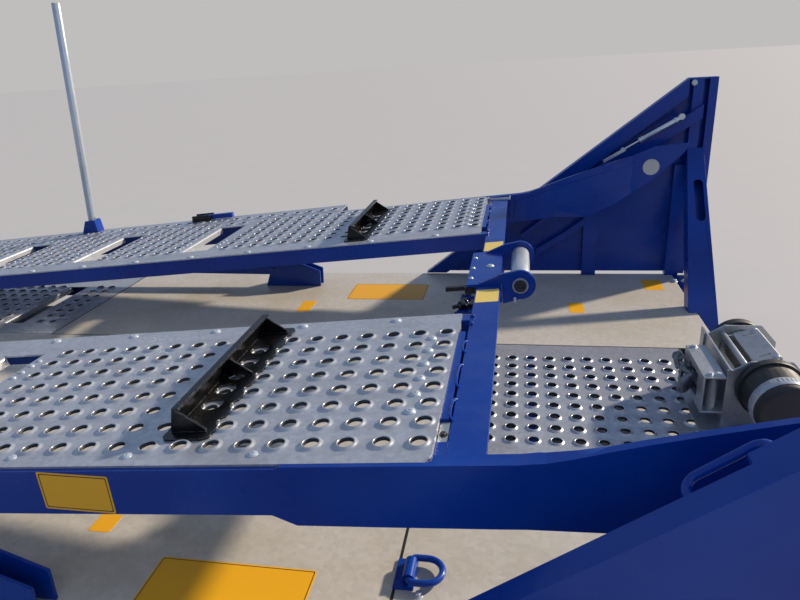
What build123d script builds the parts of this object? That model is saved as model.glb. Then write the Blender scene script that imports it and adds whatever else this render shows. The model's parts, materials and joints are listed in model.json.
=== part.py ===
"""Two-level car-carrying body for a transporter truck, in millimetres.

X points to the cab, Y to the left side, Z up.  The origin lies on the seat of the
subframe, at the middle of its four chassis bolts.
"""
import math
import os

from build123d import *

# Overall sizes
BODY_HALF_WIDTH = 1295.0
DECK_REAR = -3200.0
DECK_TOP = 190.0
DECK_SHEET = 5.0
DECK_EDGE = BODY_HALF_WIDTH - 25.0
BEAM_FRONT_X = 2150.0
SEAM = 3.0

# Towers at the front, X and Z measured from the crossbeam's edge and the deck's top
TOWER_DEPTH = 47.0
TOWER_OUTER_Y = BODY_HALF_WIDTH
TOWER_INNER_Y = TOWER_OUTER_Y - TOWER_DEPTH
TOWER_SHEET = 6.0
TOWER_FRONT = 944.0
TOWER_PEAK = 820.0
TOWER_HEIGHT = 957.0
TOWER_TAIL = -441.0
TOWER_GAP = 10.0
TOWER_BAND = 83.0
POST_REAR = 838.0
POST_WIDTH = 44.0
POST_SLOT = 25.0
LOWER_POST_REAR = 790.0
LOWER_POST_TOP = 560.0
RIB_REAR = 378.0
RIB_WIDTH = 70.0
RIB_TOP = 480.0
STAY_DEPTH = 22.0
STAY_WIDTH = 62.0
LEDGE_REAR = 352.0
LEDGE_WIDTH = 22.0
UPPER_STIFFENER = ((64.0, 222.0), (RIB_REAR + 1, 459.0))
UPPER_STIFFENER_WIDTH = 25.0
LOWER_STIFFENER = ((143.0, 142.0), (290.0, 236.0), (RIB_REAR + 1, 304.0))
LOWER_STIFFENER_WIDTH = 38.0

# Braces that lean from the towers to the outriggers
BRACE_TOP_REAR = 837.0
BRACE_FOOT_REAR = 790.0
BRACE_FRONT = 911.0
BRACE_TOP = 642.0
BRACE_SPREAD = 509.0
BRACE_FOOT_Y = TOWER_INNER_Y - BRACE_SPREAD
BRACE_DEPTH = 80.0
BRACE_WALL = 5.0
BRACE_HOLE_LENGTH = 210.0
BRACE_HOLE_WIDTH = 40.0

# Upper platform, lowest at the rear
BEAM_HEIGHT = 459.5
PLATFORM_LENGTH = 4500.0
PLATFORM_REAR_HEIGHT = 89.0
CROSSBEAM_WIDTH = 75.0
CROSSBEAM_HEIGHT = 100.0
CROSSBEAM_WALL = 6.0
ARM_GAP = 150.0
ARM_THICKNESS = 32.0
ARM_OUTER_Y = TOWER_INNER_Y - ARM_GAP
ARM_INNER_Y = ARM_OUTER_Y - ARM_THICKNESS
RAIL_HEIGHT = 103.0
RAIL_TAPER = 1200.0
RAIL_END_HEIGHT = 58.0
TRACK_WIDTH = 676.0
TRACK_OVERLAP = 22.0
TRACK_OUTER_Y = ARM_INNER_Y + TRACK_OVERLAP
TRACK_INNER_Y = TRACK_OUTER_Y - TRACK_WIDTH
TRACK_FRONT = -97.0
TRACK_LIFT = 10.0
TRACK_SHEET = 5.0
STRAP_GAP_FIRST = -1458.0
STRAP_GAP_PITCH = 576.0
STRAP_GAP_COUNT = 5
STRAP_GAP_LENGTH = 122.0
STRAP_GAP_INSET = 147.0
STRAP_GAP_WIDTH = 412.0
FLANGE_DROP = 24.0
INNER_RAIL_WIDTH = 40.0
INNER_RAIL_HEIGHT = 62.0
TIE_WIDTH = 50.0
TIE_HEIGHT = 40.0
TIE_SHARES = (0.6, 0.8, 1.0)

# Pivot of the platform in the towers
PIVOT_REACH = 657.0
PIVOT_RISE = 577.0
PIN_RADIUS = 37.0
COLLAR_RADIUS = 52.0
COLLAR_GAP = 6.0
PIN_PROUD = 4.0
HUB_RADIUS = 66.0
RUNNING_FIT = 0.05

# Outline of the arm, from the crossbeam's edge and the deck's top, counter-clockwise
ARM_OUTLINE = (
    (-375.0, 438.6), (-462.0, 380.0), (-470.0, 364.0), (-470.0, 322.9), (-402.0, 328.5), (-354.0, 309.0),
    (-194.0, 320.0), (24.0, 336.0), (222.0, 353.0), (369.0, 347.0), (510.0, 410.0), (612.0, 478.0),
    (688.0, 534.0), (795.0, 636.0), (822.0, 680.0), (739.0, 678.0), (669.0, 670.0), (574.0, 631.0),
    (440.0, 592.0), (330.0, 558.0), (260.0, 535.0), (200.0, 514.0), (150.0, 496.0), (100.0, 481.0),
    (57.0, 473.8),
)
# Plan of the arm: X from the crossbeam's edge, Y from the rail's outer face
ARM_INNER_LINE = ((-94.0, -32.0), (90.0, -32.0), (200.0, -9.0), (440.0, 14.0), (574.0, 27.0), (900.0, 27.0))
ARM_OUTER_LINE = ((-480.0, 1.0), (70.0, 1.0), (200.0, 8.0), (440.0, 29.0), (574.0, 42.0), (900.0, 42.0))
ARM_PANEL = ((30.0, 346.0), (570.0, 500.0), (584.0, 597.0), (38.0, 439.0))
ARM_PANEL_PROUD = 5.0
STAY_LINE = ((300.0, 492.0), (455.0, 580.0), (796.0, 780.0), (886.0, 840.0))

# Subframe below the deck
SUBFRAME_Y = 430.0
SUBFRAME_WIDTH = 70.0
SUBFRAME_HEIGHT = 120.0
SUBFRAME_WALL = 6.0
JOIST_WIDTH = 60.0
JOIST_PITCH = 600.0
JOIST_WALL = 4.0
SILL_WIDTH = 90.0
SILL_HEIGHT = 115.0
SILL_WALL = 5.0
SEAT_BOLT_X = 2400.0
SEAT_BOLT_RADIUS = 9.0

# Deck plates
REAR_SEAM = -2107.0
RIGHT_SEAM = -217.0
LEFT_SEAM_Y = 373.0
RIGHT_SEAM_Y = -424.0
PLATE_FRONT = 828.0
GRIP_REAR = -20.0
GRIP_FRONT = 672.0
GRIP_PITCH = 70.0
GRIP_HOLE_RADIUS = 15.0
GRIP_FIRST_X = 33.0
GRIP_FIRST_Y = 249.0
GRIP_COLUMNS = 9
GRIP_ROWS = 9

# Strap gaps in the rear deck plates
REAR_GAP_FIRST = -2465.0
REAR_GAP_LENGTH = 97.0
REAR_GAP_WIDTH = 520.0
REAR_GAP_Y = 490.0

# Wheel stops
STOP_REAR = -669.0
STOP_INNER_Y = TRACK_INNER_Y + 40.0
STOP_LENGTH = 555.0
STOP_REACH = 107.0
STOP_CORNER = 16.0
STOP_SHEET = 5.0
STOP_WALL_INSET = 27.0
STOP_WALL_REAR = -660.0
STOP_WALL_HEIGHT = 61.0
STOP_WALL_LEAN = 18.0
STOP_LIP = 17.0
STOP_GUSSET_FRONT = -578.0
STOP_HOLE_X = -618.0
STOP_HOLE_RADIUS = 24.0
STOP_HOLE_PITCH = 70.0
STOP_HOLES = 5
STOP_NOTCHES = 7

# Rope roller on the crossbeam
EAR_SPREAD = 163.0
EAR_CENTRE_Y = -12.0
EAR_SHEET = 12.0
NOSE_REACH = 58.0
NOSE_DROP = 6.0
NOSE_RADIUS = 46.0
EAR_OUTLINE = ((-64.0, 2.0), (-63.0, 8.0), (6.0, 33.0), (45.0, 38.5), (58.0, -6.0), (52.0, -51.5), (2.0, -62.0),
               (2.0, 2.0))
BOSS_RADIUS = 24.0
BOSS_LENGTH = 8.0
SPINDLE_RADIUS = 17.0
ROLLER_RADIUS = 30.0
BRACKET_DEPTH = 105.0
BRACKET_SHEET = 8.0

# Winch
WINCH_X = 784.0
WINCH_Z = 150.0
WINCH_RIGHT_Y = -190.0
WINCH_WIDTH = 275.0
WINCH_PLATE = 8.0
DRUM_RADIUS = 40.0
DRUM_FLANGE = 62.0
SHAFT_RADIUS = 15.0
GEARBOX_RADIUS = 84.0
GEARBOX_LENGTH = 150.0
GEARBOX_GAP = 12.0
MOTOR_RADIUS = 85.0
MOTOR_LENGTH = 38.0
MOTOR_CAP_RADIUS = 40.0
MOTOR_CAP_LENGTH = 26.0
BASE_FRONT = 118.0
TENSION_REAR_Y = 25.0
TENSION_FRONT_Y = 38.0
TENSION_ROD = (-60.0, 52.0)
TENSION_ROD_RADIUS = 9.0
GUIDE_REAR = 600.0
GUIDE_BOTTOM = 58.0
GUIDE_HEIGHT = 122.0
GUIDE_REACH = 64.0
GUIDE_SHEET = 6.0

# Lock cylinders between the arms and the towers
LOCK_TOP = (788.0, 792.0)
LOCK_EYE = (538.0, 649.0)
LOCK_Y = TOWER_INNER_Y - 48.0
LOCK_CASE_RADIUS = 10.0
LOCK_CASE_SHARE = 0.68
LOCK_ROD_RADIUS = 4.5
LOCK_LEVER_LENGTH = 112.0

# Lashing rings in the lower deck
RING_X = -188.0
RING_INSET = 381.0
RING_Y = DECK_EDGE - RING_INSET
RING_BAR = 8.0
RING_HALF_WIDTH = 38.0
RING_REACH = 76.0

# Lift arms below the side rails
LIFT_PIVOT = (-1254.0, 91.0)
LIFT_ARM_LENGTH = 1500.0
LIFT_ARM_THICKNESS = 36.0
LIFT_ARM_HUB = 30.0
LIFT_ARM_TIP = 22.0
LIFT_PIN_RADIUS = 15.0
LIFT_STRIP = 6.0
LIFT_CLEARANCE = 5.0
STRIP_BEHIND = 150.0
STRIP_AHEAD = 420.0
LIFT_FOOT = ((-1295.0, 0.0), (-989.0, 0.0), (-985.0, 86.0), (-1118.0, 139.0), (-1242.0, 139.0))
LIFT_FOOT_SHEET = 8.0

# Walkway and handrail posts on the left
WALKWAY_WIDTH = 137.0
WALKWAY_FRONT = -855.0
POST_X = -2385.0
POST_HINGE_RISE = 45.0
POST_LENGTH = 1165.0
POST_RADIUS = 21.0
POST_WALL = 3.0
POST_LEAN = 9.0
SOCKET_HALF_WIDTH = 30.0
SOCKET_SHEET = 6.0
SOCKET_CHEEK = ((-62.0, 0.0), (41.0, 0.0), (37.0, 70.0), (-25.0, 70.0))
STUB_X = -1685.0
STUB_HINGE_RISE = 17.0
STUB_LENGTH = 179.0
STUB_HEIGHT = 24.0
STUB_SOCKET = ((-57.0, 0.0), (56.0, 0.0), (54.0, 34.0), (-52.0, 34.0))
SOCKET_PIN_RADIUS = 8.0

# Grab handle on the right tower
HANDLE_LINE = ((284.0, 534.0), (384.0, 612.0))
HANDLE_REACH = 48.0
HANDLE_RADIUS = 7.0

SLOPE = math.degrees(math.atan2(BEAM_HEIGHT - PLATFORM_REAR_HEIGHT, PLATFORM_LENGTH))
RAIL_TOP = TRACK_LIFT - TRACK_SHEET
STRIP_UNDERSIDE = RAIL_TOP - RAIL_HEIGHT - LIFT_STRIP


def from_beam(x, z):
    """Point given from the crossbeam's front edge and the deck's top."""
    return (BEAM_FRONT_X + x, DECK_TOP + z)


PIVOT_X, PIVOT_Z = from_beam(PIVOT_REACH, PIVOT_RISE)


def block(x0, x1, y0, y1, z0, z1):
    """Solid between two corners."""
    size = (x1 - x0, y1 - y0, z1 - z0)
    return Pos((x0 + x1) / 2, (y0 + y1) / 2, (z0 + z1) / 2) * Box(*size)


def side_plate(points, y0, y1):
    """Outline in the X-Z plane, given thickness from y0 to y1."""
    outline = make_face(Polyline(*[(x, y0, z) for x, z in points], close=True))
    return extrude(outline, y1 - y0, dir=(0, 1, 0))


def cross_rod(x, z, y0, y1, radius):
    """Round bar along Y."""
    return Pos(x, (y0 + y1) / 2, z) * Rot(90, 0, 0) * Cylinder(radius, abs(y1 - y0))


def tube_box(x0, x1, y0, y1, z0, z1, wall, axis):
    """Hollow box section, open at the ends of the given axis."""
    inner = [[x0 + wall, x1 - wall], [y0 + wall, y1 - wall], [z0 + wall, z1 - wall]]
    outer = [[x0, x1], [y0, y1], [z0, z1]]
    inner[axis] = [outer[axis][0] - 1, outer[axis][1] + 1]
    bore = block(*inner[0], *inner[1], *inner[2])
    return block(x0, x1, y0, y1, z0, z1) - bore


def on_platform(shape):
    """Sets a shape drawn level, from the crossbeam's top front edge, on the slope."""
    return Pos(BEAM_FRONT_X, 0, DECK_TOP + BEAM_HEIGHT) * Rot(0, -SLOPE, 0) * shape


def both(name, shape):
    """A left-hand piece and its mirror image on the right."""
    return {name + "_left": shape, name + "_right": mirror(shape, Plane.XZ)}


def joist_rows():
    """Middle of each joist along X."""
    last = BEAM_FRONT_X + GRIP_FRONT + JOIST_WIDTH
    first = DECK_REAR + JOIST_WIDTH / 2
    count = int((last - first) // JOIST_PITCH) + 1
    return [first + index * JOIST_PITCH for index in range(count)]


def subframe():
    front = BEAM_FRONT_X + TOWER_FRONT
    half = SUBFRAME_WIDTH / 2
    beam = tube_box(DECK_REAR, front, SUBFRAME_Y - half, SUBFRAME_Y + half, 0, SUBFRAME_HEIGHT, SUBFRAME_WALL, 0)
    for x in (-SEAT_BOLT_X, SEAT_BOLT_X):
        beam -= Pos(x, SUBFRAME_Y, 0) * Cylinder(SEAT_BOLT_RADIUS, 4 * SUBFRAME_WALL)
    sheet_bottom = DECK_TOP - DECK_SHEET
    sill_inner = DECK_EDGE - SILL_WIDTH
    sill = tube_box(DECK_REAR, front, sill_inner, DECK_EDGE, sheet_bottom - SILL_HEIGHT, sheet_bottom, SILL_WALL, 0)
    joists = []
    for x in joist_rows():
        joists.append(tube_box(x - JOIST_WIDTH / 2, x + JOIST_WIDTH / 2, -sill_inner, sill_inner,
                               SUBFRAME_HEIGHT, sheet_bottom, JOIST_WALL, 1))
    rear = BEAM_FRONT_X + BRACE_TOP_REAR - 30
    outriggers = []
    for sign in (1, -1):
        y0, y1 = sorted((sign * (SUBFRAME_Y + half), sign * sill_inner))
        outriggers.append(tube_box(rear, front - 10, y0, y1, 20, SUBFRAME_HEIGHT, SUBFRAME_WALL, 1))
    return {**both("subframe_beam", beam), **both("side_sill", sill),
            "deck_joists": Compound(joists), "front_outriggers": Compound(outriggers)}


def strap_gap(plate, x, length, y, width, top, sheet):
    """Opening across a plate whose cross edges turn down."""
    plate -= block(x, x + length, y, y + width, top - sheet - 1, top + 1)
    for edge in (x - sheet, x + length):
        plate += block(edge, edge + sheet, y, y + width, top - sheet - FLANGE_DROP, top - sheet + 1)
    return plate


def deck_plates():
    z0 = DECK_TOP - DECK_SHEET
    front = BEAM_FRONT_X + PLATE_FRONT
    rear_seam = BEAM_FRONT_X + REAR_SEAM
    right_seam = BEAM_FRONT_X + RIGHT_SEAM
    grip_rear = BEAM_FRONT_X + GRIP_REAR
    grip_front = BEAM_FRONT_X + GRIP_FRONT
    left = block(rear_seam + SEAM, front, LEFT_SEAM_Y + SEAM, DECK_EDGE, z0, DECK_TOP)
    right = block(rear_seam + SEAM, right_seam - SEAM, -DECK_EDGE, RIGHT_SEAM_Y - SEAM, z0, DECK_TOP)
    right_front = block(right_seam, front, -DECK_EDGE, RIGHT_SEAM_Y - SEAM, z0, DECK_TOP)
    middle = block(DECK_REAR, grip_rear - SEAM, RIGHT_SEAM_Y, LEFT_SEAM_Y, z0, DECK_TOP)
    outline = Pos((grip_rear + grip_front) / 2, (RIGHT_SEAM_Y + LEFT_SEAM_Y) / 2) * Rectangle(
        grip_front - grip_rear, LEFT_SEAM_Y - RIGHT_SEAM_Y)
    centre_x = BEAM_FRONT_X + GRIP_FIRST_X + (GRIP_COLUMNS - 1) * GRIP_PITCH / 2
    centre_y = GRIP_FIRST_Y - (GRIP_ROWS - 1) * GRIP_PITCH / 2
    grid = GridLocations(GRIP_PITCH, GRIP_PITCH, GRIP_COLUMNS, GRIP_ROWS)
    outline -= Pos(centre_x, centre_y) * Sketch(children=[place * Circle(GRIP_HOLE_RADIUS) for place in grid])
    grip = Pos(0, 0, z0) * extrude(outline, DECK_SHEET)
    tray = block(grip_front + SEAM, front, RIGHT_SEAM_Y, LEFT_SEAM_Y, z0, DECK_TOP)
    rear_left = block(DECK_REAR, rear_seam, LEFT_SEAM_Y + SEAM, DECK_EDGE, z0, DECK_TOP)
    rear_right = block(DECK_REAR, rear_seam, -DECK_EDGE, RIGHT_SEAM_Y - SEAM, z0, DECK_TOP)
    for index in range(STRAP_GAP_COUNT):
        x = BEAM_FRONT_X + REAR_GAP_FIRST - index * JOIST_PITCH
        if x > DECK_REAR + REAR_GAP_LENGTH:
            rear_left = strap_gap(rear_left, x, REAR_GAP_LENGTH, REAR_GAP_Y, REAR_GAP_WIDTH, DECK_TOP, DECK_SHEET)
            rear_right = strap_gap(rear_right, x, REAR_GAP_LENGTH, -REAR_GAP_Y - REAR_GAP_WIDTH, REAR_GAP_WIDTH,
                                   DECK_TOP, DECK_SHEET)
    return {"deck_plate_left": left, "deck_plate_right": Compound([right, right_front]),
            "deck_plate_middle": middle, "grip_plate_front": grip, "winch_tray": tray,
            "grip_plate_rear_left": rear_left, "grip_plate_rear_right": rear_right}


def sloped_band(points, width):
    """Strip of even height below a line of points."""
    return list(points) + [(x, z - width) for x, z in reversed(points)]


def tower():
    tail = from_beam(TOWER_TAIL, TOWER_GAP)
    peak = from_beam(TOWER_PEAK, TOWER_HEIGHT)
    crown = from_beam(TOWER_FRONT, TOWER_HEIGHT)
    foot = from_beam(TOWER_FRONT, TOWER_GAP)
    panel_y = TOWER_OUTER_Y - TOWER_SHEET
    inner = TOWER_INNER_Y
    shape = side_plate([tail, foot, crown, peak], panel_y, TOWER_OUTER_Y)
    rise = (peak[1] - tail[1]) / (peak[0] - tail[0])
    drop = TOWER_SHEET * math.hypot(1, rise)
    edge = [tail, (tail[0] + drop / rise, tail[1]), (peak[0], peak[1] - drop), (crown[0], crown[1] - TOWER_SHEET),
            crown, peak]
    shape += side_plate(edge, inner, TOWER_OUTER_Y)
    band = [tail, (tail[0] + TOWER_BAND / rise, tail[1]), (peak[0], peak[1] - TOWER_BAND), peak]
    shape += side_plate(band, inner, inner + TOWER_SHEET)
    base = DECK_TOP - DECK_SHEET - SILL_HEIGHT
    under_crown = crown[1] - TOWER_SHEET / 2
    post = BEAM_FRONT_X + POST_REAR
    shape += tube_box(post, post + POST_WIDTH, inner, panel_y + 1, DECK_TOP + TOWER_GAP, under_crown, 5.0, 2)
    lower = BEAM_FRONT_X + LOWER_POST_REAR
    shape += tube_box(lower, post + 1, inner, panel_y + 1, DECK_TOP, DECK_TOP + LOWER_POST_TOP, 5.0, 2)
    strip = post + POST_WIDTH + POST_SLOT
    shape += block(strip, crown[0], inner, inner + TOWER_SHEET, DECK_TOP + TOWER_GAP, under_crown)
    shape += block(crown[0] - TOWER_SHEET, crown[0], inner, TOWER_OUTER_Y, DECK_TOP + TOWER_GAP, under_crown)
    rib = BEAM_FRONT_X + RIB_REAR
    shape += tube_box(rib, rib + RIB_WIDTH, inner, panel_y + 1, DECK_TOP, DECK_TOP + RIB_TOP, 4.0, 2)
    for line, width in ((UPPER_STIFFENER, UPPER_STIFFENER_WIDTH), (LOWER_STIFFENER, LOWER_STIFFENER_WIDTH)):
        shape += side_plate(sloped_band([from_beam(x, z) for x, z in line], width), inner, panel_y + 1)
    stay = sloped_band([from_beam(x, z) for x, z in STAY_LINE], STAY_WIDTH)
    shape += side_plate(stay, inner - STAY_DEPTH, inner + 1)
    shape += cross_rod(PIVOT_X, PIVOT_Z, inner - STAY_DEPTH, TOWER_OUTER_Y, HUB_RADIUS)
    for x in (LOWER_POST_REAR + 10, RIB_REAR):
        x += BEAM_FRONT_X
        shape += block(x, x + 60, DECK_EDGE, panel_y + 1, base, DECK_TOP + TOWER_GAP + 30)
    shape -= cross_rod(PIVOT_X, PIVOT_Z, inner - STAY_DEPTH - 1, TOWER_OUTER_Y + 1, PIN_RADIUS + RUNNING_FIT)
    right = mirror(shape, Plane.XZ)
    ledge_rear = BEAM_FRONT_X + LEDGE_REAR
    ledge_z = tail[1] + (ledge_rear - tail[0]) * rise
    ledge = [(ledge_rear, ledge_z), (ledge_rear, ledge_z - drop), (peak[0], peak[1] - drop), peak]
    right += side_plate(ledge, -inner - 1, -inner + LEDGE_WIDTH)
    return {"tower_left": shape, "tower_right": right, **both("tower_brace", brace()), "grab_handle": grab_handle()}


def brace():
    """Leaning box strut that widens to its foot, with one long hole in its inner face."""
    front = BEAM_FRONT_X + BRACE_FRONT
    top_rear = BEAM_FRONT_X + BRACE_TOP_REAR
    foot_rear = BEAM_FRONT_X + BRACE_FOOT_REAR
    slope = (TOWER_INNER_Y - BRACE_FOOT_Y) / BRACE_TOP
    low = SUBFRAME_HEIGHT
    crown = DECK_TOP + BRACE_TOP
    foot_y = BRACE_FOOT_Y - slope * (DECK_TOP - low)

    def strut(wall):
        inset = wall * math.hypot(1, slope)
        corners = ((TOWER_INNER_Y, crown - inset / slope), (TOWER_INNER_Y, crown - (BRACE_DEPTH - inset) / slope),
                   (foot_y + BRACE_DEPTH - inset, low), (foot_y + inset, low))
        face = make_face(Polyline(*[(foot_rear, y, z) for y, z in corners], close=True))
        sides = [(foot_rear + wall, low), (front - wall, low), (front - wall, crown), (top_rear + wall, crown),
                 (foot_rear + wall, DECK_TOP)]
        return extrude(face, front - foot_rear, dir=(1, 0, 0)) & side_plate(sides, foot_y, TOWER_INNER_Y)

    shape = strut(0) - strut(BRACE_WALL)
    shape -= block(foot_rear - 1, BEAM_FRONT_X + PLATE_FRONT + SEAM, foot_y - 1, TOWER_INNER_Y, low - 1, DECK_TOP)
    lean = math.degrees(math.atan2(1, slope))
    middle_y = BRACE_FOOT_Y + slope * BRACE_TOP * 2 / 3
    middle_z = DECK_TOP + BRACE_TOP * 2 / 3
    slot = Rot(0, 0, 90) * SlotOverall(BRACE_HOLE_LENGTH, BRACE_HOLE_WIDTH)
    cutter = extrude(slot, 4 * BRACE_WALL, both=True)
    return shape - Pos((top_rear + front) / 2, middle_y, middle_z) * Rot(lean, 0, 0) * cutter


def grab_handle():
    """Bent round bar on the right tower's inner face."""
    wall_y = -TOWER_INNER_Y
    reach_y = wall_y + HANDLE_REACH
    ends = [from_beam(x, z) for x, z in HANDLE_LINE]
    points = [(ends[0][0], wall_y, ends[0][1]), (ends[0][0], reach_y, ends[0][1]),
              (ends[1][0], reach_y, ends[1][1]), (ends[1][0], wall_y, ends[1][1])]
    path = FilletPolyline(*points, radius=22)
    start = Plane(origin=path @ 0, z_dir=path % 0)
    return sweep(start * Circle(HANDLE_RADIUS), path=path)


def arm_plan(inner_shift, outer_line, outer_shift):
    """Upright prism over the arm's plan, bounded by its inner line and another line."""
    near = [(BEAM_FRONT_X + x, ARM_OUTER_Y + y + inner_shift) for x, y in ARM_INNER_LINE]
    far = [(BEAM_FRONT_X + x, ARM_OUTER_Y + y + outer_shift) for x, y in outer_line]
    if outer_line is ARM_OUTER_LINE:
        near = [(far[0][0], TRACK_OUTER_Y), (near[0][0], TRACK_OUTER_Y)] + near
    return extrude(make_face(Polyline(*near, *reversed(far), close=True)), DECK_TOP + TOWER_HEIGHT)


def side_rail():
    """Straight rail, and the arm's plate that bends outwards to the tower."""
    rear = -PLATFORM_LENGTH
    bottom = RAIL_TOP - RAIL_HEIGHT
    line = [(rear, RAIL_TOP), (rear, RAIL_TOP - RAIL_END_HEIGHT), (rear + RAIL_TAPER, bottom), (-60.0, bottom),
            (-60.0, RAIL_TOP)]
    rail = on_platform(side_plate(line, ARM_INNER_Y, ARM_OUTER_Y))
    outline = [from_beam(x, z) for x, z in ARM_OUTLINE]
    rail += side_plate(outline, ARM_INNER_Y - 1, TOWER_INNER_Y) & arm_plan(0, ARM_OUTER_LINE, 0)
    panel = [from_beam(x, z) for x, z in ARM_PANEL]
    rail += side_plate(panel, ARM_INNER_Y - 10, TOWER_INNER_Y) & arm_plan(-ARM_PANEL_PROUD, ARM_INNER_LINE, 1)
    pin_inner = ARM_OUTER_Y + ARM_INNER_LINE[-1][1]
    rail += cross_rod(PIVOT_X, PIVOT_Z, pin_inner + 1, TOWER_INNER_Y - STAY_DEPTH - COLLAR_GAP, COLLAR_RADIUS)
    pin = cross_rod(PIVOT_X, PIVOT_Z, pin_inner - PIN_PROUD, TOWER_OUTER_Y, PIN_RADIUS)
    return {**both("side_rail", rail - pin), **both("pivot_pin", pin)}


def platform_frame():
    crossbeam = on_platform(tube_box(-CROSSBEAM_WIDTH, 0, -ARM_INNER_Y, ARM_INNER_Y,
                                     -CROSSBEAM_HEIGHT, 0, CROSSBEAM_WALL, 1))
    rear = -PLATFORM_LENGTH
    inner = on_platform(block(rear, -CROSSBEAM_WIDTH, TRACK_INNER_Y - SEAM, TRACK_INNER_Y - SEAM + INNER_RAIL_WIDTH,
                              RAIL_TOP - INNER_RAIL_HEIGHT, RAIL_TOP))
    pieces = {"crossbeam": crossbeam, **both("inner_rail", inner)}
    reach = TRACK_INNER_Y - SEAM
    for index, share in enumerate(TIE_SHARES):
        x = -share * (PLATFORM_LENGTH - TIE_WIDTH)
        tie = block(x - TIE_WIDTH / 2, x + TIE_WIDTH / 2, -reach, reach, RAIL_TOP - TIE_HEIGHT, RAIL_TOP)
        pieces["platform_tie_%d" % (index + 1)] = on_platform(tie)
    return pieces


def wheel_track():
    """Wheel track in one sheet, with a row of strap gaps whose cross edges turn down."""
    z0 = TRACK_LIFT - TRACK_SHEET
    rear = -PLATFORM_LENGTH
    track = block(rear, TRACK_FRONT, TRACK_INNER_Y, TRACK_OUTER_Y, z0, TRACK_LIFT)
    gap_y = TRACK_INNER_Y + STRAP_GAP_INSET
    for index in range(STRAP_GAP_COUNT):
        x0 = STRAP_GAP_FIRST - index * STRAP_GAP_PITCH
        if x0 < rear + STRAP_GAP_LENGTH:
            continue
        track = strap_gap(track, x0, STRAP_GAP_LENGTH, gap_y, STRAP_GAP_WIDTH, TRACK_LIFT, TRACK_SHEET)
    track += block(TRACK_FRONT - TRACK_SHEET, TRACK_FRONT, TRACK_INNER_Y + INNER_RAIL_WIDTH, ARM_INNER_Y - 1,
                   z0 - FLANGE_DROP, z0 + 1)
    return both("wheel_track", on_platform(track))


def wheel_stop():
    """Folded stop: base sheet with holes and a notched front edge, leaning wall, three gussets."""
    z = TRACK_LIFT
    y0 = STOP_INNER_Y
    middle = y0 + STOP_LENGTH / 2
    outline = Pos(STOP_REAR + STOP_REACH / 2, middle) * RectangleRounded(STOP_REACH, STOP_LENGTH, STOP_CORNER)
    for x, count in ((STOP_HOLE_X, STOP_HOLES), (STOP_HOLE_X + STOP_HOLE_PITCH, STOP_NOTCHES)):
        holes = [place * Circle(STOP_HOLE_RADIUS) for place in GridLocations(1, STOP_HOLE_PITCH, 1, count)]
        outline -= Pos(x, middle) * Sketch(children=holes)
    stop = Pos(0, 0, z) * extrude(outline, STOP_SHEET)
    x = STOP_WALL_REAR
    crest = x + STOP_WALL_LEAN
    top = z + STOP_WALL_HEIGHT
    near = y0 + STOP_WALL_INSET
    far = y0 + STOP_LENGTH - STOP_WALL_INSET
    wall = [(x, z), (x + STOP_SHEET, z), (crest + STOP_SHEET, top - STOP_SHEET), (crest + STOP_LIP, top - STOP_SHEET),
            (crest + STOP_LIP, top), (crest, top)]
    stop += side_plate(wall, near, far)
    rise = [(x + 1, z + 1), (STOP_GUSSET_FRONT, z + 1), (STOP_GUSSET_FRONT, z + 2 * STOP_SHEET), (crest + 1, top - 1)]
    for y in (near, middle - STOP_SHEET / 2, far - STOP_SHEET):
        stop += side_plate(rise, y, y + STOP_SHEET)
    return both("wheel_stop", on_platform(stop))


def rope_roller():
    near = EAR_CENTRE_Y - EAR_SPREAD
    far = EAR_CENTRE_Y + EAR_SPREAD
    axis = (NOSE_REACH, -NOSE_DROP)
    bracket = block(-BRACKET_DEPTH, -2, near - 4, far + 4, 0, BRACKET_SHEET)
    for y in (near, far - EAR_SHEET):
        bracket += side_plate(EAR_OUTLINE, y, y + EAR_SHEET)
        bracket += cross_rod(*axis, y, y + EAR_SHEET, NOSE_RADIUS)
    bracket -= cross_rod(*axis, near - 5, far + 5, SPINDLE_RADIUS + RUNNING_FIT)
    spindle = cross_rod(*axis, near - 1, far + 5, SPINDLE_RADIUS)
    spindle += cross_rod(*axis, near - BOSS_LENGTH, near, BOSS_RADIUS)
    roller = cross_rod(*axis, near + EAR_SHEET + 3, far - EAR_SHEET - 3, ROLLER_RADIUS)
    roller -= cross_rod(*axis, near, far, SPINDLE_RADIUS + RUNNING_FIT)
    return {"roller_bracket": on_platform(bracket), "roller_spindle": on_platform(spindle),
            "rope_roller": on_platform(roller)}


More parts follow.
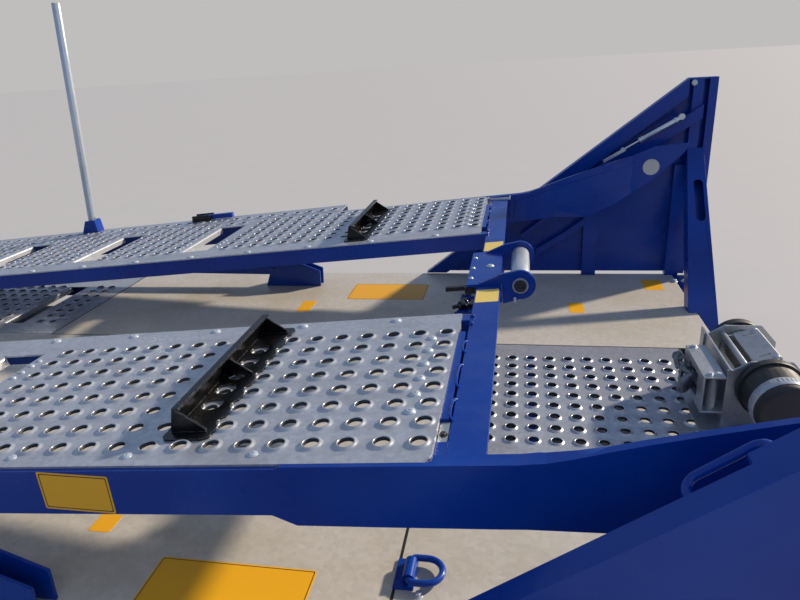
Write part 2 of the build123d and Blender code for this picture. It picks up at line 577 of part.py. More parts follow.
def winch():
    x, z = from_beam(WINCH_X, WINCH_Z)
    y0 = WINCH_RIGHT_Y
    y1 = y0 + WINCH_WIDTH
    rear = BEAM_FRONT_X + GUIDE_REAR
    cheek = [(rear + 68, DECK_TOP + 2), (x + 110, DECK_TOP + 2), (x + 110, z + 20), (x + 60, z + 78),
             (x - 55, z + 78), (x - 100, z + 48), (rear + 68, z + 48)]
    base = block(rear, x + BASE_FRONT, y0 - 30, y1 + 30, DECK_TOP, DECK_TOP + WINCH_PLATE)
    for y in (y0, y1 - WINCH_PLATE):
        base += side_plate(cheek, y, y + WINCH_PLATE)
    base += block(rear + 74, rear + 80, y0 + 1, y1 + 50, DECK_TOP + 1, z + 50)
    base -= cross_rod(x, z, y0 - 10, y1 + 10, SHAFT_RADIUS + RUNNING_FIT)
    drum_y0 = y0 + WINCH_PLATE + 5
    drum_y1 = y1 - WINCH_PLATE - 5
    drum = cross_rod(x, z, drum_y0, drum_y1, DRUM_RADIUS)
    for y in (drum_y0, drum_y1 - 6):
        drum += cross_rod(x, z, y, y + 6, DRUM_FLANGE)
    drum += cross_rod(x, z, y0 - 4, y1 + 4, SHAFT_RADIUS)
    near = y0 + TENSION_REAR_Y
    far = y1 - TENSION_FRONT_Y
    plate = side_plate([(x - 36, z + 56), (x - 36, z + 62), (x + 30, z + 86), (x + 37, z + 81), (x + 37, z + 72),
                        (x + 32, z + 72), (x + 30, z + 79)], near, far)
    for y in (near + 26, far - 34):
        plate -= block(x - 16, x + 14, y, y + 8, z + 50, z + 120)
    rod_x = x + TENSION_ROD[0]
    rod_z = z + TENSION_ROD[1]
    plate += cross_rod(rod_x, rod_z, y0 + WINCH_PLATE, y1 - WINCH_PLATE, TENSION_ROD_RADIUS)
    for y in (near, far - 6):
        plate += block(rod_x, x - 30, y, y + 6, rod_z - 6, z + 58)
    case_end = y0 - GEARBOX_GAP - GEARBOX_LENGTH
    gearbox = fillet(cross_rod(x, z, case_end, y0 - GEARBOX_GAP, GEARBOX_RADIUS).edges().group_by(Axis.Y)[0], 18)
    gearbox += cross_rod(x, z, y0 - 30, y0 - 5, GEARBOX_RADIUS + 8)
    motor_end = y1 + 6 + MOTOR_LENGTH
    motor = fillet(cross_rod(x, z, y1 + 6, motor_end, MOTOR_RADIUS).edges().group_by(Axis.Y)[-1], 8)
    cap = cross_rod(x, z, motor_end - 1, motor_end + MOTOR_CAP_LENGTH, MOTOR_CAP_RADIUS)
    motor += fillet(cap.edges().group_by(Axis.Y)[-1], 6)
    bottom = DECK_TOP + GUIDE_BOTTOM
    top = bottom + GUIDE_HEIGHT
    near = y0 - 14
    far = near + 226
    guide = block(rear, rear + GUIDE_SHEET, near, far, bottom, top)
    guide -= block(rear - 1, rear + GUIDE_SHEET + 1, near + 62, far - 62, bottom + 22, top - 22)
    for level in (bottom, top - GUIDE_SHEET):
        guide += block(rear, rear + GUIDE_REACH, near, far, level, level + GUIDE_SHEET)
    for y in (near + 34, near + 74, far - 74, far - 34):
        guide += Pos(rear + GUIDE_REACH / 2 + 4, y, (bottom + top) / 2) * Cylinder(15, GUIDE_HEIGHT - 6)
    guide += block(rear + 50, rear + GUIDE_REACH, near + 90, far - 90, DECK_TOP + WINCH_PLATE, bottom + 1)
    return {"winch_base": base, "winch_drum": drum, "winch_tension_plate": plate, "winch_gearbox": gearbox,
            "winch_motor": motor, "rope_guide": guide}


def lock():
    top_x, top_z = from_beam(*LOCK_TOP)
    eye_x, eye_z = from_beam(*LOCK_EYE)
    length = math.dist((top_x, top_z), (eye_x, eye_z))
    tilt = math.degrees(math.atan2(top_z - eye_z, top_x - eye_x))
    to_tower = TOWER_INNER_Y - LOCK_Y + 2
    case_length = length * LOCK_CASE_SHARE
    case = Pos(length - 12 - case_length / 2, 0, 0) * Rot(0, 90, 0) * (
        Cylinder(LOCK_CASE_RADIUS, case_length) - Cylinder(LOCK_ROD_RADIUS + RUNNING_FIT, case_length + 1))
    case += Pos(length, 0, 0) * Rot(90, 0, 0) * Cylinder(14, 14)
    case += Pos(length, to_tower / 2, 0) * Rot(90, 0, 0) * Cylinder(6, to_tower)
    rod = Pos(length * 0.24, 0, 0) * Rot(0, 90, 0) * Cylinder(LOCK_ROD_RADIUS, length * 0.48)
    rod += Rot(90, 0, 0) * Cylinder(11, 12)
    rod += Pos(0, -6, 0) * Rot(90, 0, 0) * Cylinder(5, 22)
    rod += Pos(-LOCK_LEVER_LENGTH / 2 + 10, -13, 0) * Box(LOCK_LEVER_LENGTH, 6, 14)
    place = Pos(eye_x, LOCK_Y, eye_z) * Rot(0, -tilt, 0)
    return {**both("lock_cylinder", place * case), **both("lock_rod", place * rod)}


def lashing_ring():
    x = BEAM_FRONT_X + RING_X
    y = RING_Y
    z = DECK_TOP
    axis_z = z + 18
    base = block(x - 34, x + 50, y - 45, y + 45, z, z + 6)
    base += block(x - 14, x + 14, y - 16, y + 16, z + 6, z + 30)
    base -= cross_rod(x, axis_z, y - 60, y + 60, RING_BAR + RUNNING_FIT)
    loop = FilletPolyline((x, y - RING_HALF_WIDTH, axis_z), (x, y + RING_HALF_WIDTH, axis_z),
                          (x + RING_REACH, y + RING_HALF_WIDTH, axis_z),
                          (x + RING_REACH, y - RING_HALF_WIDTH, axis_z), radius=20, close=True)
    start = Plane(origin=loop @ 0, z_dir=loop % 0)
    bow = sweep(start * Circle(RING_BAR), path=loop)
    return {**both("ring_base", base), **both("lashing_ring", bow)}


def lift_arm_rest(x, z):
    """Angle at which the arm's round tip lies just below the wear strip."""
    slope = math.radians(SLOPE)
    reach = (BEAM_FRONT_X - x, DECK_TOP + BEAM_HEIGHT - z)
    gap = reach[1] * math.cos(slope) - reach[0] * math.sin(slope) + STRIP_UNDERSIDE
    return math.asin((gap - LIFT_ARM_TIP - LIFT_CLEARANCE) / LIFT_ARM_LENGTH) - slope


def lift_arm():
    x, z = from_beam(*LIFT_PIVOT)
    rest = lift_arm_rest(x, z)
    print("lift arm rest angle", round(math.degrees(rest), 3), "slope", round(SLOPE, 3))
    tip_x = x - LIFT_ARM_LENGTH * math.cos(rest)
    tip_z = z + LIFT_ARM_LENGTH * math.sin(rest)
    y0 = (ARM_INNER_Y + ARM_OUTER_Y - LIFT_ARM_THICKNESS) / 2
    y1 = y0 + LIFT_ARM_THICKNESS
    arm = cross_rod(x, z, y0, y1, LIFT_ARM_HUB)
    arm += side_plate([(x, z + LIFT_ARM_HUB), (tip_x, tip_z + LIFT_ARM_TIP), (tip_x, tip_z - LIFT_ARM_TIP),
                       (x, z - LIFT_ARM_HUB)], y0, y1)
    arm += cross_rod(tip_x, tip_z, y0, y1, LIFT_ARM_TIP)
    arm -= cross_rod(x, z, y0 - 1, y1 + 1, LIFT_PIN_RADIUS + RUNNING_FIT)
    outline = [from_beam(*point) for point in LIFT_FOOT]
    foot = side_plate(outline, y1 + LIFT_CLEARANCE, y1 + LIFT_CLEARANCE + LIFT_FOOT_SHEET)
    foot += side_plate(outline, y0 - LIFT_CLEARANCE - LIFT_FOOT_SHEET, y0 - LIFT_CLEARANCE)
    foot += cross_rod(x, z, y0 - 18, y1 + 18, LIFT_PIN_RADIUS)
    strip_y = LIFT_ARM_THICKNESS / 2 + 2
    middle = (ARM_INNER_Y + ARM_OUTER_Y) / 2
    tip = LIFT_PIVOT[0] - LIFT_ARM_LENGTH
    strip = on_platform(block(tip - STRIP_BEHIND, tip + STRIP_AHEAD, middle - strip_y, middle + strip_y,
                              STRIP_UNDERSIDE, STRIP_UNDERSIDE + LIFT_STRIP))
    return {**both("lift_arm", arm), **both("lift_foot", foot), **both("lift_strip", strip)}


def post_socket(cheek, x, y, pin_rise):
    """Two cheeks with a hinge pin between them and a wall across their front."""
    half = SOCKET_HALF_WIDTH
    outline = [(x + step, TRACK_LIFT + rise) for step, rise in cheek]
    bottom = outline[1]
    top = outline[2]
    front = [(bottom[0] - SOCKET_SHEET, bottom[1]), bottom, top, (top[0] - SOCKET_SHEET, top[1])]
    socket = side_plate(outline, y - half, y - half + SOCKET_SHEET)
    socket += side_plate(outline, y + half - SOCKET_SHEET, y + half)
    return socket + cross_rod(x, TRACK_LIFT + pin_rise, y - half, y + half, SOCKET_PIN_RADIUS), front


def handrail():
    z = TRACK_LIFT
    hinge_y = ARM_OUTER_Y + WALKWAY_WIDTH - SOCKET_HALF_WIDTH - 2
    walkway = block(-PLATFORM_LENGTH, WALKWAY_FRONT, ARM_OUTER_Y, ARM_OUTER_Y + WALKWAY_WIDTH, z - TRACK_SHEET, z)
    walkway += block(-PLATFORM_LENGTH, WALKWAY_FRONT, ARM_OUTER_Y + WALKWAY_WIDTH - TRACK_SHEET,
                     ARM_OUTER_Y + WALKWAY_WIDTH, z - 40, z - 1)
    socket, front = post_socket(SOCKET_CHEEK, POST_X, hinge_y, POST_HINGE_RISE)
    socket += side_plate(front, hinge_y - SOCKET_HALF_WIDTH, hinge_y + SOCKET_HALF_WIDTH)
    stub_socket, _ = post_socket(STUB_SOCKET, STUB_X, hinge_y, STUB_HINGE_RISE)
    pieces = {"walkway": walkway, "post_socket": socket, "post_socket_front": stub_socket}
    bore = SOCKET_PIN_RADIUS + RUNNING_FIT
    pin_z = z + POST_HINGE_RISE
    lean = Pos(POST_X, hinge_y, pin_z) * Rot(0, POST_LEAN, 0)
    post = lean * Pos(0, 0, POST_LENGTH / 2) * (
        Cylinder(POST_RADIUS, POST_LENGTH) - Cylinder(POST_RADIUS - POST_WALL, POST_LENGTH + 2))
    post += lean * Box(34, 36, 40)
    pieces["handrail_post"] = post - cross_rod(POST_X, pin_z, hinge_y - 40, hinge_y + 40, bore)
    pin_z = z + STUB_HINGE_RISE
    half = STUB_HEIGHT / 2
    stub = block(STUB_X - half, STUB_X + STUB_LENGTH, hinge_y - half, hinge_y + half, pin_z - half, pin_z + half)
    stub = fillet(stub.edges().filter_by(Axis.Y).group_by(Axis.X)[0], half - 1)
    pieces["handrail_post_front"] = stub - cross_rod(STUB_X, pin_z, hinge_y - 40, hinge_y + 40, bore)
    return {name: on_platform(shape) for name, shape in pieces.items()}


def main():
    pieces = {}
    for group in (subframe, deck_plates, tower, side_rail, platform_frame, wheel_track, wheel_stop,
                  rope_roller, winch, lock, lashing_ring, lift_arm, handrail):
        pieces.update(group())
    os.makedirs("parts", exist_ok=True)
    for name, shape in pieces.items():
        shape.label = name
        export_step(shape, "parts/" + name + ".step")
        box = shape.bounding_box()
        print(name, [round(v) for v in (*box.min, *box.max)], "solids", len(shape.solids()))


main()
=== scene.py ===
import json
import math
import bpy
import bmesh
from mathutils import Matrix, Vector


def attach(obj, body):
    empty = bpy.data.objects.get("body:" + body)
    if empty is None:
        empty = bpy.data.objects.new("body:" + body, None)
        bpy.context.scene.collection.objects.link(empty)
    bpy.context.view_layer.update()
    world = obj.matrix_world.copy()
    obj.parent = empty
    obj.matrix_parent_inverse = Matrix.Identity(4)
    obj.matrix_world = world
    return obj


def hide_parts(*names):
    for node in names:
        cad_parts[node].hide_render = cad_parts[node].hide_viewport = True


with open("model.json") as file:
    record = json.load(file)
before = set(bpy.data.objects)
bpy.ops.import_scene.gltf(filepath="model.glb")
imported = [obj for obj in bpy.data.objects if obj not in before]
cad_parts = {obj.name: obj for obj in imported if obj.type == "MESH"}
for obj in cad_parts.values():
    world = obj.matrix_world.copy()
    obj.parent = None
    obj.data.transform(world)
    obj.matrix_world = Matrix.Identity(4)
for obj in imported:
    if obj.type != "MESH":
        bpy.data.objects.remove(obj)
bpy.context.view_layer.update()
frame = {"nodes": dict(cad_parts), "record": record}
nodes = frame["nodes"]
print("frame loaded:", len(nodes), "solids")

body = {
    "beamFrontX": 2.150,          # front edge of the crossbeam
    "deckTopZ": 0.190,
    "beamHeight": 0.4595,         # top of the crossbeam above the deck
    "rearHeight": 0.089,          # the platform's top above the deck at its rear end
    "platformLength": 4.5,
    "railOuterY": 1.098,
}
slope = math.atan2(body["beamHeight"] - body["rearHeight"], body["platformLength"])

mm = 0.001
onDeck = Matrix.Translation((body["beamFrontX"], 0, body["deckTopZ"])) @ Matrix.Scale(mm, 4)
onPlatform = (Matrix.Translation((body["beamFrontX"], 0, body["deckTopZ"] + body["beamHeight"]))
              @ Matrix.Rotation(-slope, 4, "Y") @ Matrix.Scale(mm, 4))


def mirrored(place):
    # the same place on the right side
    return Matrix.Scale(-1, 4, (0, 1, 0)) @ place


def bothSides(place):
    return (("left", place), ("right", mirrored(place)))


def circle(count, start=0):
    # cosine and sine of equal steps round a full turn
    return [(math.cos(a), math.sin(a)) for a in (start + 2 * math.pi * i / count for i in range(count))]


def srgb(code):
    # "#rrggbb" to linear light
    parts = [int(code[i:i + 2], 16) / 255 for i in (1, 3, 5)]
    linear = [p / 12.92 if p <= 0.04045 else ((p + 0.055) / 1.055) ** 2.4 for p in parts]
    return (*linear, 1)


def addNode(tree, kind, settings=None, inputs=None):
    node = tree.nodes.new(kind)
    for name, value in (settings or {}).items():
        setattr(node, name, value)
    for name, value in (inputs or {}).items():
        socket = node.inputs[name]
        if isinstance(value, bpy.types.NodeSocket):
            tree.links.new(value, socket)
        else:
            socket.default_value = value
    return node


def newMaterial(name):
    material = bpy.data.materials.new(name)
    material.use_nodes = True
    tree = material.node_tree
    shader = tree.nodes["Principled BSDF"]
    where = addNode(tree, "ShaderNodeTexCoord").outputs["Object"]
    return material, tree, shader, where


def ramp(tree, source, stops):
    node = addNode(tree, "ShaderNodeValToRGB", inputs={"Fac": source})
    elements = node.color_ramp.elements
    while len(elements) < len(stops):
        elements.new(0.5)
    for element, (position, colour) in zip(elements, stops):
        element.position = position
        element.color = colour
    return node.outputs["Color"]


def grey(value):
    return (value, value, value, 1)


def upwardShare(tree):
    # 1 on faces that look up, where dust settles
    normal = addNode(tree, "ShaderNodeNewGeometry").outputs["Normal"]
    up = addNode(tree, "ShaderNodeSeparateXYZ", inputs={0: normal}).outputs["Z"]
    return addNode(tree, "ShaderNodeMapRange", inputs={0: up, 1: 0.55, 2: 0.98}).outputs[0]


def edgeShare(tree, radius):
    # 1 on outer edges, where paint wears through and where a highlight is painted
    bevelled = addNode(tree, "ShaderNodeBevel", {"samples": 4}, {"Radius": radius}).outputs["Normal"]
    flat = addNode(tree, "ShaderNodeNewGeometry").outputs["Normal"]
    along = addNode(tree, "ShaderNodeVectorMath", {"operation": "DOT_PRODUCT"},
                    {0: bevelled, 1: flat}).outputs["Value"]
    return addNode(tree, "ShaderNodeMapRange", inputs={0: along, 1: 0.985, 2: 0.86}).outputs[0]


def noise(tree, where, size, detail=3, roughness=0.55):
    # size: width of one blotch in metres
    return addNode(tree, "ShaderNodeTexNoise", inputs={"Vector": where, "Scale": 1 / size, "Detail": detail,
                                                       "Roughness": roughness}).outputs["Fac"]


def blotches(tree, where, size, low, high, share=1.0, detail=4, roughness=0.7):
    # blotches of one size: 0 where the noise is below low, share where it is above high
    return ramp(tree, noise(tree, where, size, detail, roughness), [(low, grey(0)), (high, grey(share))])


def mixColour(tree, share, first, second):
    # a colour is a "#rrggbb" code or comes from another node
    first, second = [srgb(colour) if isinstance(colour, str) else colour for colour in (first, second)]
    return addNode(tree, "ShaderNodeMix", {"data_type": "RGBA"},
                   {0: share, 6: first, 7: second}).outputs[2]


def multiply(tree, first, second):
    return addNode(tree, "ShaderNodeMath", {"operation": "MULTIPLY"}, {0: first, 1: second}).outputs[0]


def setColour(tree, shader, colour):
    tree.links.new(colour, shader.inputs["Base Color"])


def weatheredAndEdgeLit(tree, look, paint, settled, wearAndHighlightPatches):
    # dust where the face looks up; along outer edges a paler colour, partly paint worn through and partly a
    # painted highlight
    dusty = mixColour(tree, multiply(tree, upwardShare(tree), settled), paint, look["dust"])
    edge = multiply(tree, edgeShare(tree, look["edgeRadius"]), wearAndHighlightPatches)
    return mixColour(tree, multiply(tree, edge, look["edgeShare"]), dusty, look["edge"])


def gloss(tree, shader, source, low, high):
    # roughness that wanders between two values
    spread = addNode(tree, "ShaderNodeMapRange", inputs={0: source, 1: 0.3, 2: 0.7, 3: low, 4: high})
    tree.links.new(spread.outputs[0], shader.inputs["Roughness"])


def bump(tree, shader, height, distance, strength):
    node = addNode(tree, "ShaderNodeBump",
                   inputs={"Height": height, "Distance": distance, "Strength": strength})
    tree.links.new(node.outputs["Normal"], shader.inputs["Normal"])


def makeBlueEnamel():
    # two-pack enamel sprayed on steel: deep, wet-looking blue, faint orange peel, dusty on top, paler along
    # its edges, partly wear and partly a painted highlight
    look = {
        "paint": "#022f86", "lighter": "#053c97", "blotch": 0.35, "dust": "#6f7c92", "dustGrain": 0.09,
        "dustShare": 0.12, "edge": "#4a62b4", "edgeGrain": 0.02, "edgeRadius": 0.0015, "edgeShare": 0.5,
        "glossPatch": 0.06, "gloss": (0.24, 0.36), "peel": 0.004, "peelDepth": 0.0003, "peelStrength": 0.12,
        "sockets": {"IOR": 1.45, "Specular IOR Level": 0.32, "Coat Weight": 0.12, "Coat Roughness": 0.1},
    }
    material, tree, shader, where = newMaterial("blue_two_pack_enamel")
    tone = blotches(tree, where, look["blotch"], 0.35, 0.68, 1, 2, 0.55)
    paint = mixColour(tree, tone, look["paint"], look["lighter"])
    settled = blotches(tree, where, look["dustGrain"], 0.45, 0.8, look["dustShare"], 6, 0.68)
    wearAndHighlightPatches = blotches(tree, where, look["edgeGrain"], 0.55, 0.72)
    setColour(tree, shader, weatheredAndEdgeLit(tree, look, paint, settled, wearAndHighlightPatches))
    gloss(tree, shader, noise(tree, where, look["glossPatch"], 4), *look["gloss"])
    for socket, value in look["sockets"].items():
        shader.inputs[socket].default_value = value
    bump(tree, shader, noise(tree, where, look["peel"], 2), look["peelDepth"], look["peelStrength"])
    return material


def scaled(tree, where, scale):
    return addNode(tree, "ShaderNodeMapping", inputs={"Vector": where, "Scale": scale}).outputs[0]


def makeGalvanised(name, look):
    # hot-dip galvanised sheet: crystals of zinc of 8 to 15 mm that differ in tone, wiped dirt, soft shine
    material, tree, shader, where = newMaterial(name)
    crystals = addNode(tree, "ShaderNodeTexVoronoi", {"feature": "F1"},
                       {"Vector": where, "Scale": 1 / look["crystal"], "Randomness": 1}).outputs["Color"]
    tone = addNode(tree, "ShaderNodeSeparateColor", inputs={0: crystals}).outputs[0]
    zinc = mixColour(tree, tone, look["zinc"], look["zincLight"])
    wiped = noise(tree, scaled(tree, where, look["streak"]), look["wipe"], 5, 0.6)
    dirt = ramp(tree, wiped, [(0.45, grey(0)), (0.75, grey(look["dirtShare"]))])
    wipedZinc = mixColour(tree, dirt, zinc, look["dirt"])
    spots = blotches(tree, where, 0.012, 0.66, 0.74, 0.5, 3, 0.8)
    spotShare = multiply(tree, spots, look["spotShare"])
    setColour(tree, shader, mixColour(tree, spotShare, wipedZinc, look["dirt"]))
    shader.inputs["Metallic"].default_value = look["metallic"]
    gloss(tree, shader, wiped, *look["gloss"])
    bump(tree, shader, noise(tree, where, 0.03, 3), 0.0006, look["waviness"])
    return material


def makeSteel(name, look):
    # plated or bright steel: even metal with fine scratches and a little grime in patches
    material, tree, shader, where = newMaterial(name)
    lines = noise(tree, scaled(tree, where, look["scratch"]), 0.01, 4, 0.7)
    metal = mixColour(tree, lines, look["metal"], look["metalLight"])
    grime = blotches(tree, where, look["grimeSize"], 0.5, 0.8, look["grimeShare"], 5, 0.65)
    setColour(tree, shader, mixColour(tree, grime, metal, look["grime"]))
    shader.inputs["Metallic"].default_value = look["metallic"]
    gloss(tree, shader, lines, *look["gloss"])
    bump(tree, shader, lines, 0.0002, 0.15)
    return material


def makePaint(name, look):
    # brushed or dipped paint: soft shine, paler on its edges, partly worn to the metal and partly a painted
    # highlight, dust where it faces up
    material, tree, shader, where = newMaterial(name)
    patches = noise(tree, where, look["patch"], 4, 0.6)
    paint = mixColour(tree, patches, look["paint"], look["lighter"])
    settled = blotches(tree, where, 0.03, 0.4, 0.8, look["dustShare"], 6)
    wearAndHighlightPatches = blotches(tree, where, 0.012, 0.4, 0.62)
    setColour(tree, shader, weatheredAndEdgeLit(tree, look, paint, settled, wearAndHighlightPatches))
    gloss(tree, shader, patches, *look["gloss"])
    bump(tree, shader, noise(tree, where, 0.006, 3), 0.0004, look["roughBump"])
    return material


def makeVinyl(name, film, rubbing):
    # vinyl film: clean flat colour, rubbed in patches, with a soft shine
    material, tree, shader, where = newMaterial(name)
    rubbed = blotches(tree, where, 0.03, 0.5, 0.8, 0.3, 5)
    setColour(tree, shader, mixColour(tree, rubbed, film, rubbing))
    gloss(tree, shader, noise(tree, where, 0.02, 3), 0.35, 0.5)
    return material


def makeDullBlack():
    # dull black like extruded PVC, slightly grey with dust: printed lines on the films, and painted shade in
    # the deck's seams
    material, tree, shader, where = newMaterial("black_film_lines_and_seam_shade")
    dusty = blotches(tree, where, 0.02, 0.45, 0.8, 0.4, 5)
    setColour(tree, shader, mixColour(tree, dusty, "#17181a", "#4a4a48"))
    gloss(tree, shader, noise(tree, where, 0.01, 3), 0.45, 0.62)
    return material


def makeWireRope():
    # stranded galvanised wire: bright strands with dark grease between them, lay of about 12 mm
    material, tree, shader, where = newMaterial("stranded_steel_wire")
    turned = addNode(tree, "ShaderNodeMapping", inputs={"Vector": where, "Rotation": (0.6, 0.4, 0.7)})
    strands = addNode(tree, "ShaderNodeTexWave", {"wave_type": "BANDS"},
                      {"Vector": turned.outputs[0], "Scale": 1 / 0.012, "Distortion": 1.5,
                       "Detail": 1}).outputs["Fac"]
    setColour(tree, shader, mixColour(tree, strands, "#3b3a38", "#a9abad"))
    shader.inputs["Metallic"].default_value = 0.8
    gloss(tree, shader, strands, 0.6, 0.38)
    bump(tree, shader, strands, 0.001, 0.5)
    return material


def makeAll(make, columns, rows):
    # one material for each row of values, in the order of the named columns
    names = columns.split()
    return [make(name, dict(zip(names, values))) for name, values in rows.items()]


blueEnamel = makeBlueEnamel()
trackZinc, holeWallShade, deckZinc = makeAll(
    makeGalvanised, "crystal zinc zincLight dirt dirtShare spotShare streak wipe metallic gloss waviness", {
        "hot_dip_galvanised_track": (
            0.011, "#b3b8c0", "#c4c9cf", "#85868a", 0.4, 0.5, (1, 2.2, 1), 0.16, 0.55, (0.24, 0.38), 0.16),
        # dark zinc for the holes' inner walls: painted shade standing for the dark inside the holes
        "galvanised_hole_wall_painted_shade": (
            0.011, "#33373d", "#474c54", "#181715", 0.5, 0.4, (1, 1, 1), 0.02, 0.3, (0.42, 0.6), 0.1),
        "hot_dip_galvanised_deck": (
            0.014, "#c6c2b8", "#d2cec4", "#a99f86", 0.6, 0.7, (0.7, 1, 1), 0.3, 0.22, (0.36, 0.5), 0.2),
    })
brightZinc, platedSteel, boltZinc, forgedSteel, paleBand = makeAll(
    makeSteel, "metal metalLight scratch grime grimeSize grimeShare metallic gloss", {
        "bright_zinc_plate": ("#b9c3cc", "#cfd7de", (1, 1, 0.15), "#7b8087", 0.08, 0.25, 0.65, (0.26, 0.4)),
        "zinc_plated_steel": ("#a4a9ae", "#bfc4c8", (1, 0.3, 1), "#5c5953", 0.05, 0.35, 0.65, (0.26, 0.42)),
        "zinc_plated_bolt": ("#b4c0cc", "#cdd6de", (1, 1, 1), "#7f868c", 0.02, 0.25, 0.5, (0.34, 0.5)),
        "drop_forged_steel": ("#6c7279", "#8d949b", (1, 1, 1), "#45474a", 0.015, 0.5, 0.6, (0.34, 0.5)),
        "zinc_clamp_band": ("#a9b0b8", "#c2c8ce", (1, 0.4, 1), "#77797b", 0.02, 0.5, 0.4, (0.3, 0.45)),
    })
blackPaint, darkCast = makeAll(
    makePaint, "paint lighter dust dustShare edge edgeRadius edgeShare patch gloss roughBump", {
        # the black paint's pale grey edge colour is mostly a painted highlight along the sheet edges
        "black_dipped_paint": (
            "#050506", "#0a0b0d", "#3a3b3d", 0.08, "#959ca6", 0.002, 0.7, 0.06, (0.16, 0.34), 0.35),
        "dark_cast_iron_paint": (
            "#1d1f21", "#2b2d2f", "#6a675f", 0.35, "#7c7c78", 0.0018, 0.4, 0.03, (0.4, 0.6), 0.7),
    })
yellowVinyl = makeVinyl("yellow_vinyl_film", "#e8ab14", "#dba634")
paleVinyl = makeVinyl("faded_yellow_vinyl_film", "#e3c868", "#cdb980")
blackLinesAndSeamShade = makeDullBlack()
wireRope = makeWireRope()
print("materials made:", len(bpy.data.materials))

finishes = {
    "blue_paint": blueEnamel, "galvanised_sheet": trackZinc, "zinc_steel": brightZinc,
    "plated_steel": platedSteel, "black_steel": blackPaint, "dark_cast": darkCast,
}
softEdge = {"width": 0.002, "segments": 2, "angle": math.radians(38), "weld": 0.00002}


def softenEdges(item, width):
    soft = item.modifiers.new("soft_edges", "BEVEL")
    soft.width = width
    soft.segments = softEdge["segments"]
    soft.limit_method = "ANGLE"
    soft.angle_limit = softEdge["angle"]
    soft.harden_normals = True


def dressSolids():
    slots = {part["node"]: part["material_slot"] for part in frame["record"]["subparts"]}
    for name, item in nodes.items():
        finish = deckZinc if name.startswith("deck_plate") else finishes[slots[name]]
        item.data.materials.clear()
        item.data.materials.append(finish)
        weld = item.modifiers.new("joined", "WELD")
        weld.merge_threshold = softEdge["weld"]
        softenEdges(item, softEdge["width"])


dressSolids()
print("solids dressed")


def newObject(name, data):
    item = bpy.data.objects.new(name, data)
    bpy.context.scene.collection.objects.link(item)
    return item


def finishPiece(build, name, rideOn, material, angle=35, replaced=(), bevel=0, wound=False,
                second=None):
    # angle: sharper edges stay hard; wound: faces already look outwards; second: finish of index 1
    mesh = bpy.data.meshes.new(name)
    if not wound:
        bmesh.ops.recalc_face_normals(build, faces=build.faces)
    build.to_mesh(mesh)
    build.free()
    mesh.materials.append(material)
    if second:
        mesh.materials.append(second)
    mesh.shade_smooth()
    mesh.set_sharp_from_angle(angle=math.radians(angle))
    item = newObject(name, mesh)
    if bevel:
        softenEdges(item, bevel)
    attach(item, rideOn)
    if replaced:
        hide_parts(*replaced)
    return item


def vert(build, place, *point):
    return build.verts.new(place @ Vector(point))


def bridge(build, first, second, index=0):
    # closed band of faces between two rings with as many corners
    for i in range(len(first)):
        j = (i + 1) % len(first)
        build.faces.new((first[i], first[j], second[j], second[i])).material_index = index


def addBlock(build, place, low, high):
    corners = [vert(build, place, x, y, z) for x in (low[0], high[0]) for y in (low[1], high[1])
               for z in (low[2], high[2])]
    for face in ((0, 1, 3, 2), (4, 6, 7, 5), (0, 4, 5, 1), (2, 3, 7, 6), (0, 2, 6, 4), (1, 5, 7, 3)):
        build.faces.new([corners[i] for i in face])


def finishPressed(build, rideOn, node):
    # sheet with pressed holes, shown for a node of plain sheet
    # the second, dark finish on the holes' inner walls is painted shade
    finishPiece(build, "pressed_" + node, rideOn, trackZinc, 52, [node], wound=True,
                second=holeWallShade)


def addPlate(build, place, outline, z0, z1):
    # flat plate with any outline in x and y
    low = [vert(build, place, x, y, z0) for x, y in outline]
    high = [vert(build, place, x, y, z1) for x, y in outline]
    build.faces.new(low[::-1])
    build.faces.new(high)
    bridge(build, low, high)


def addTurned(build, place, profile, count=24, closed=False):
    # profile: (radius, height) along local z, spun round it
    rings = []
    for radius, height in profile:
        if radius < 1e-6:
            rings.append([vert(build, place, 0, 0, height)])
            continue
        rings.append([vert(build, place, radius * c, radius * s, height) for c, s in circle(count)])
    pairs = list(zip(rings, rings[1:]))
    if closed:
        pairs.append((rings[-1], rings[0]))
    for first, second in pairs:
        if len(first) == len(second):
            bridge(build, first, second)
            continue
        for i in range(count):
            j = (i + 1) % count
            if len(first) == 1:
                build.faces.new((first[0], second[j], second[i]))
            else:
                build.faces.new((first[i], first[j], second[0]))


def facing(place, point, direction=(0, 0, 1), spin=0):
    # a local frame whose z looks along direction
    turn = Vector(direction).normalized().to_track_quat("Z", "Y").to_matrix().to_4x4()
    return place @ Matrix.Translation(Vector(point)) @ turn @ Matrix.Rotation(spin, 4, "Z")


def addHexBolt(build, place, size=18, height=11, washer=16, washerHeight=2.5):
    addTurned(build, place, [(0, 0), (washer, 0), (washer, washerHeight * 0.7), (washer - 1, washerHeight),
                             (0, washerHeight)], 24)
    corner = size / math.sqrt(3)
    top = washerHeight + height
    low, high, cap = [[vert(build, place, reach * c, reach * s, z) for c, s in circle(6)]
                      for reach, z in ((corner, washerHeight), (corner, top - 1), (corner * 0.86, top))]
    build.faces.new(low[::-1])
    build.faces.new(cap)
    bridge(build, low, high)
    bridge(build, high, cap)


def addDomeHead(build, place, radius=12, height=5, washer=15):
    profile = [(0, 0), (washer, 0), (washer, 1), (washer - 0.8, 1.6), (radius, 1.8),
               (radius * 0.94, height * 0.55), (radius * 0.72, height * 0.85), (radius * 0.42, height),
               (radius * 0.28, height), (radius * 0.24, height - 2.2), (0, height - 2.4)]
    addTurned(build, place, profile, 20)


pressedHole = {
    "pitch": 70,
    # radius and height of each ring of the pressed rim, from the flat sheet into the hole
    "rings": [(25.8, 0), (24.4, 0.2), (22.2, 2), (19.8, 4.1), (18.2, 4.9), (17, 4.9), (15.9, 3.6),
              (15.8, -5)],
    "innerFrom": 7,               # from this ring on it is the cut edge inside the hole
    "sheet": 5,
}


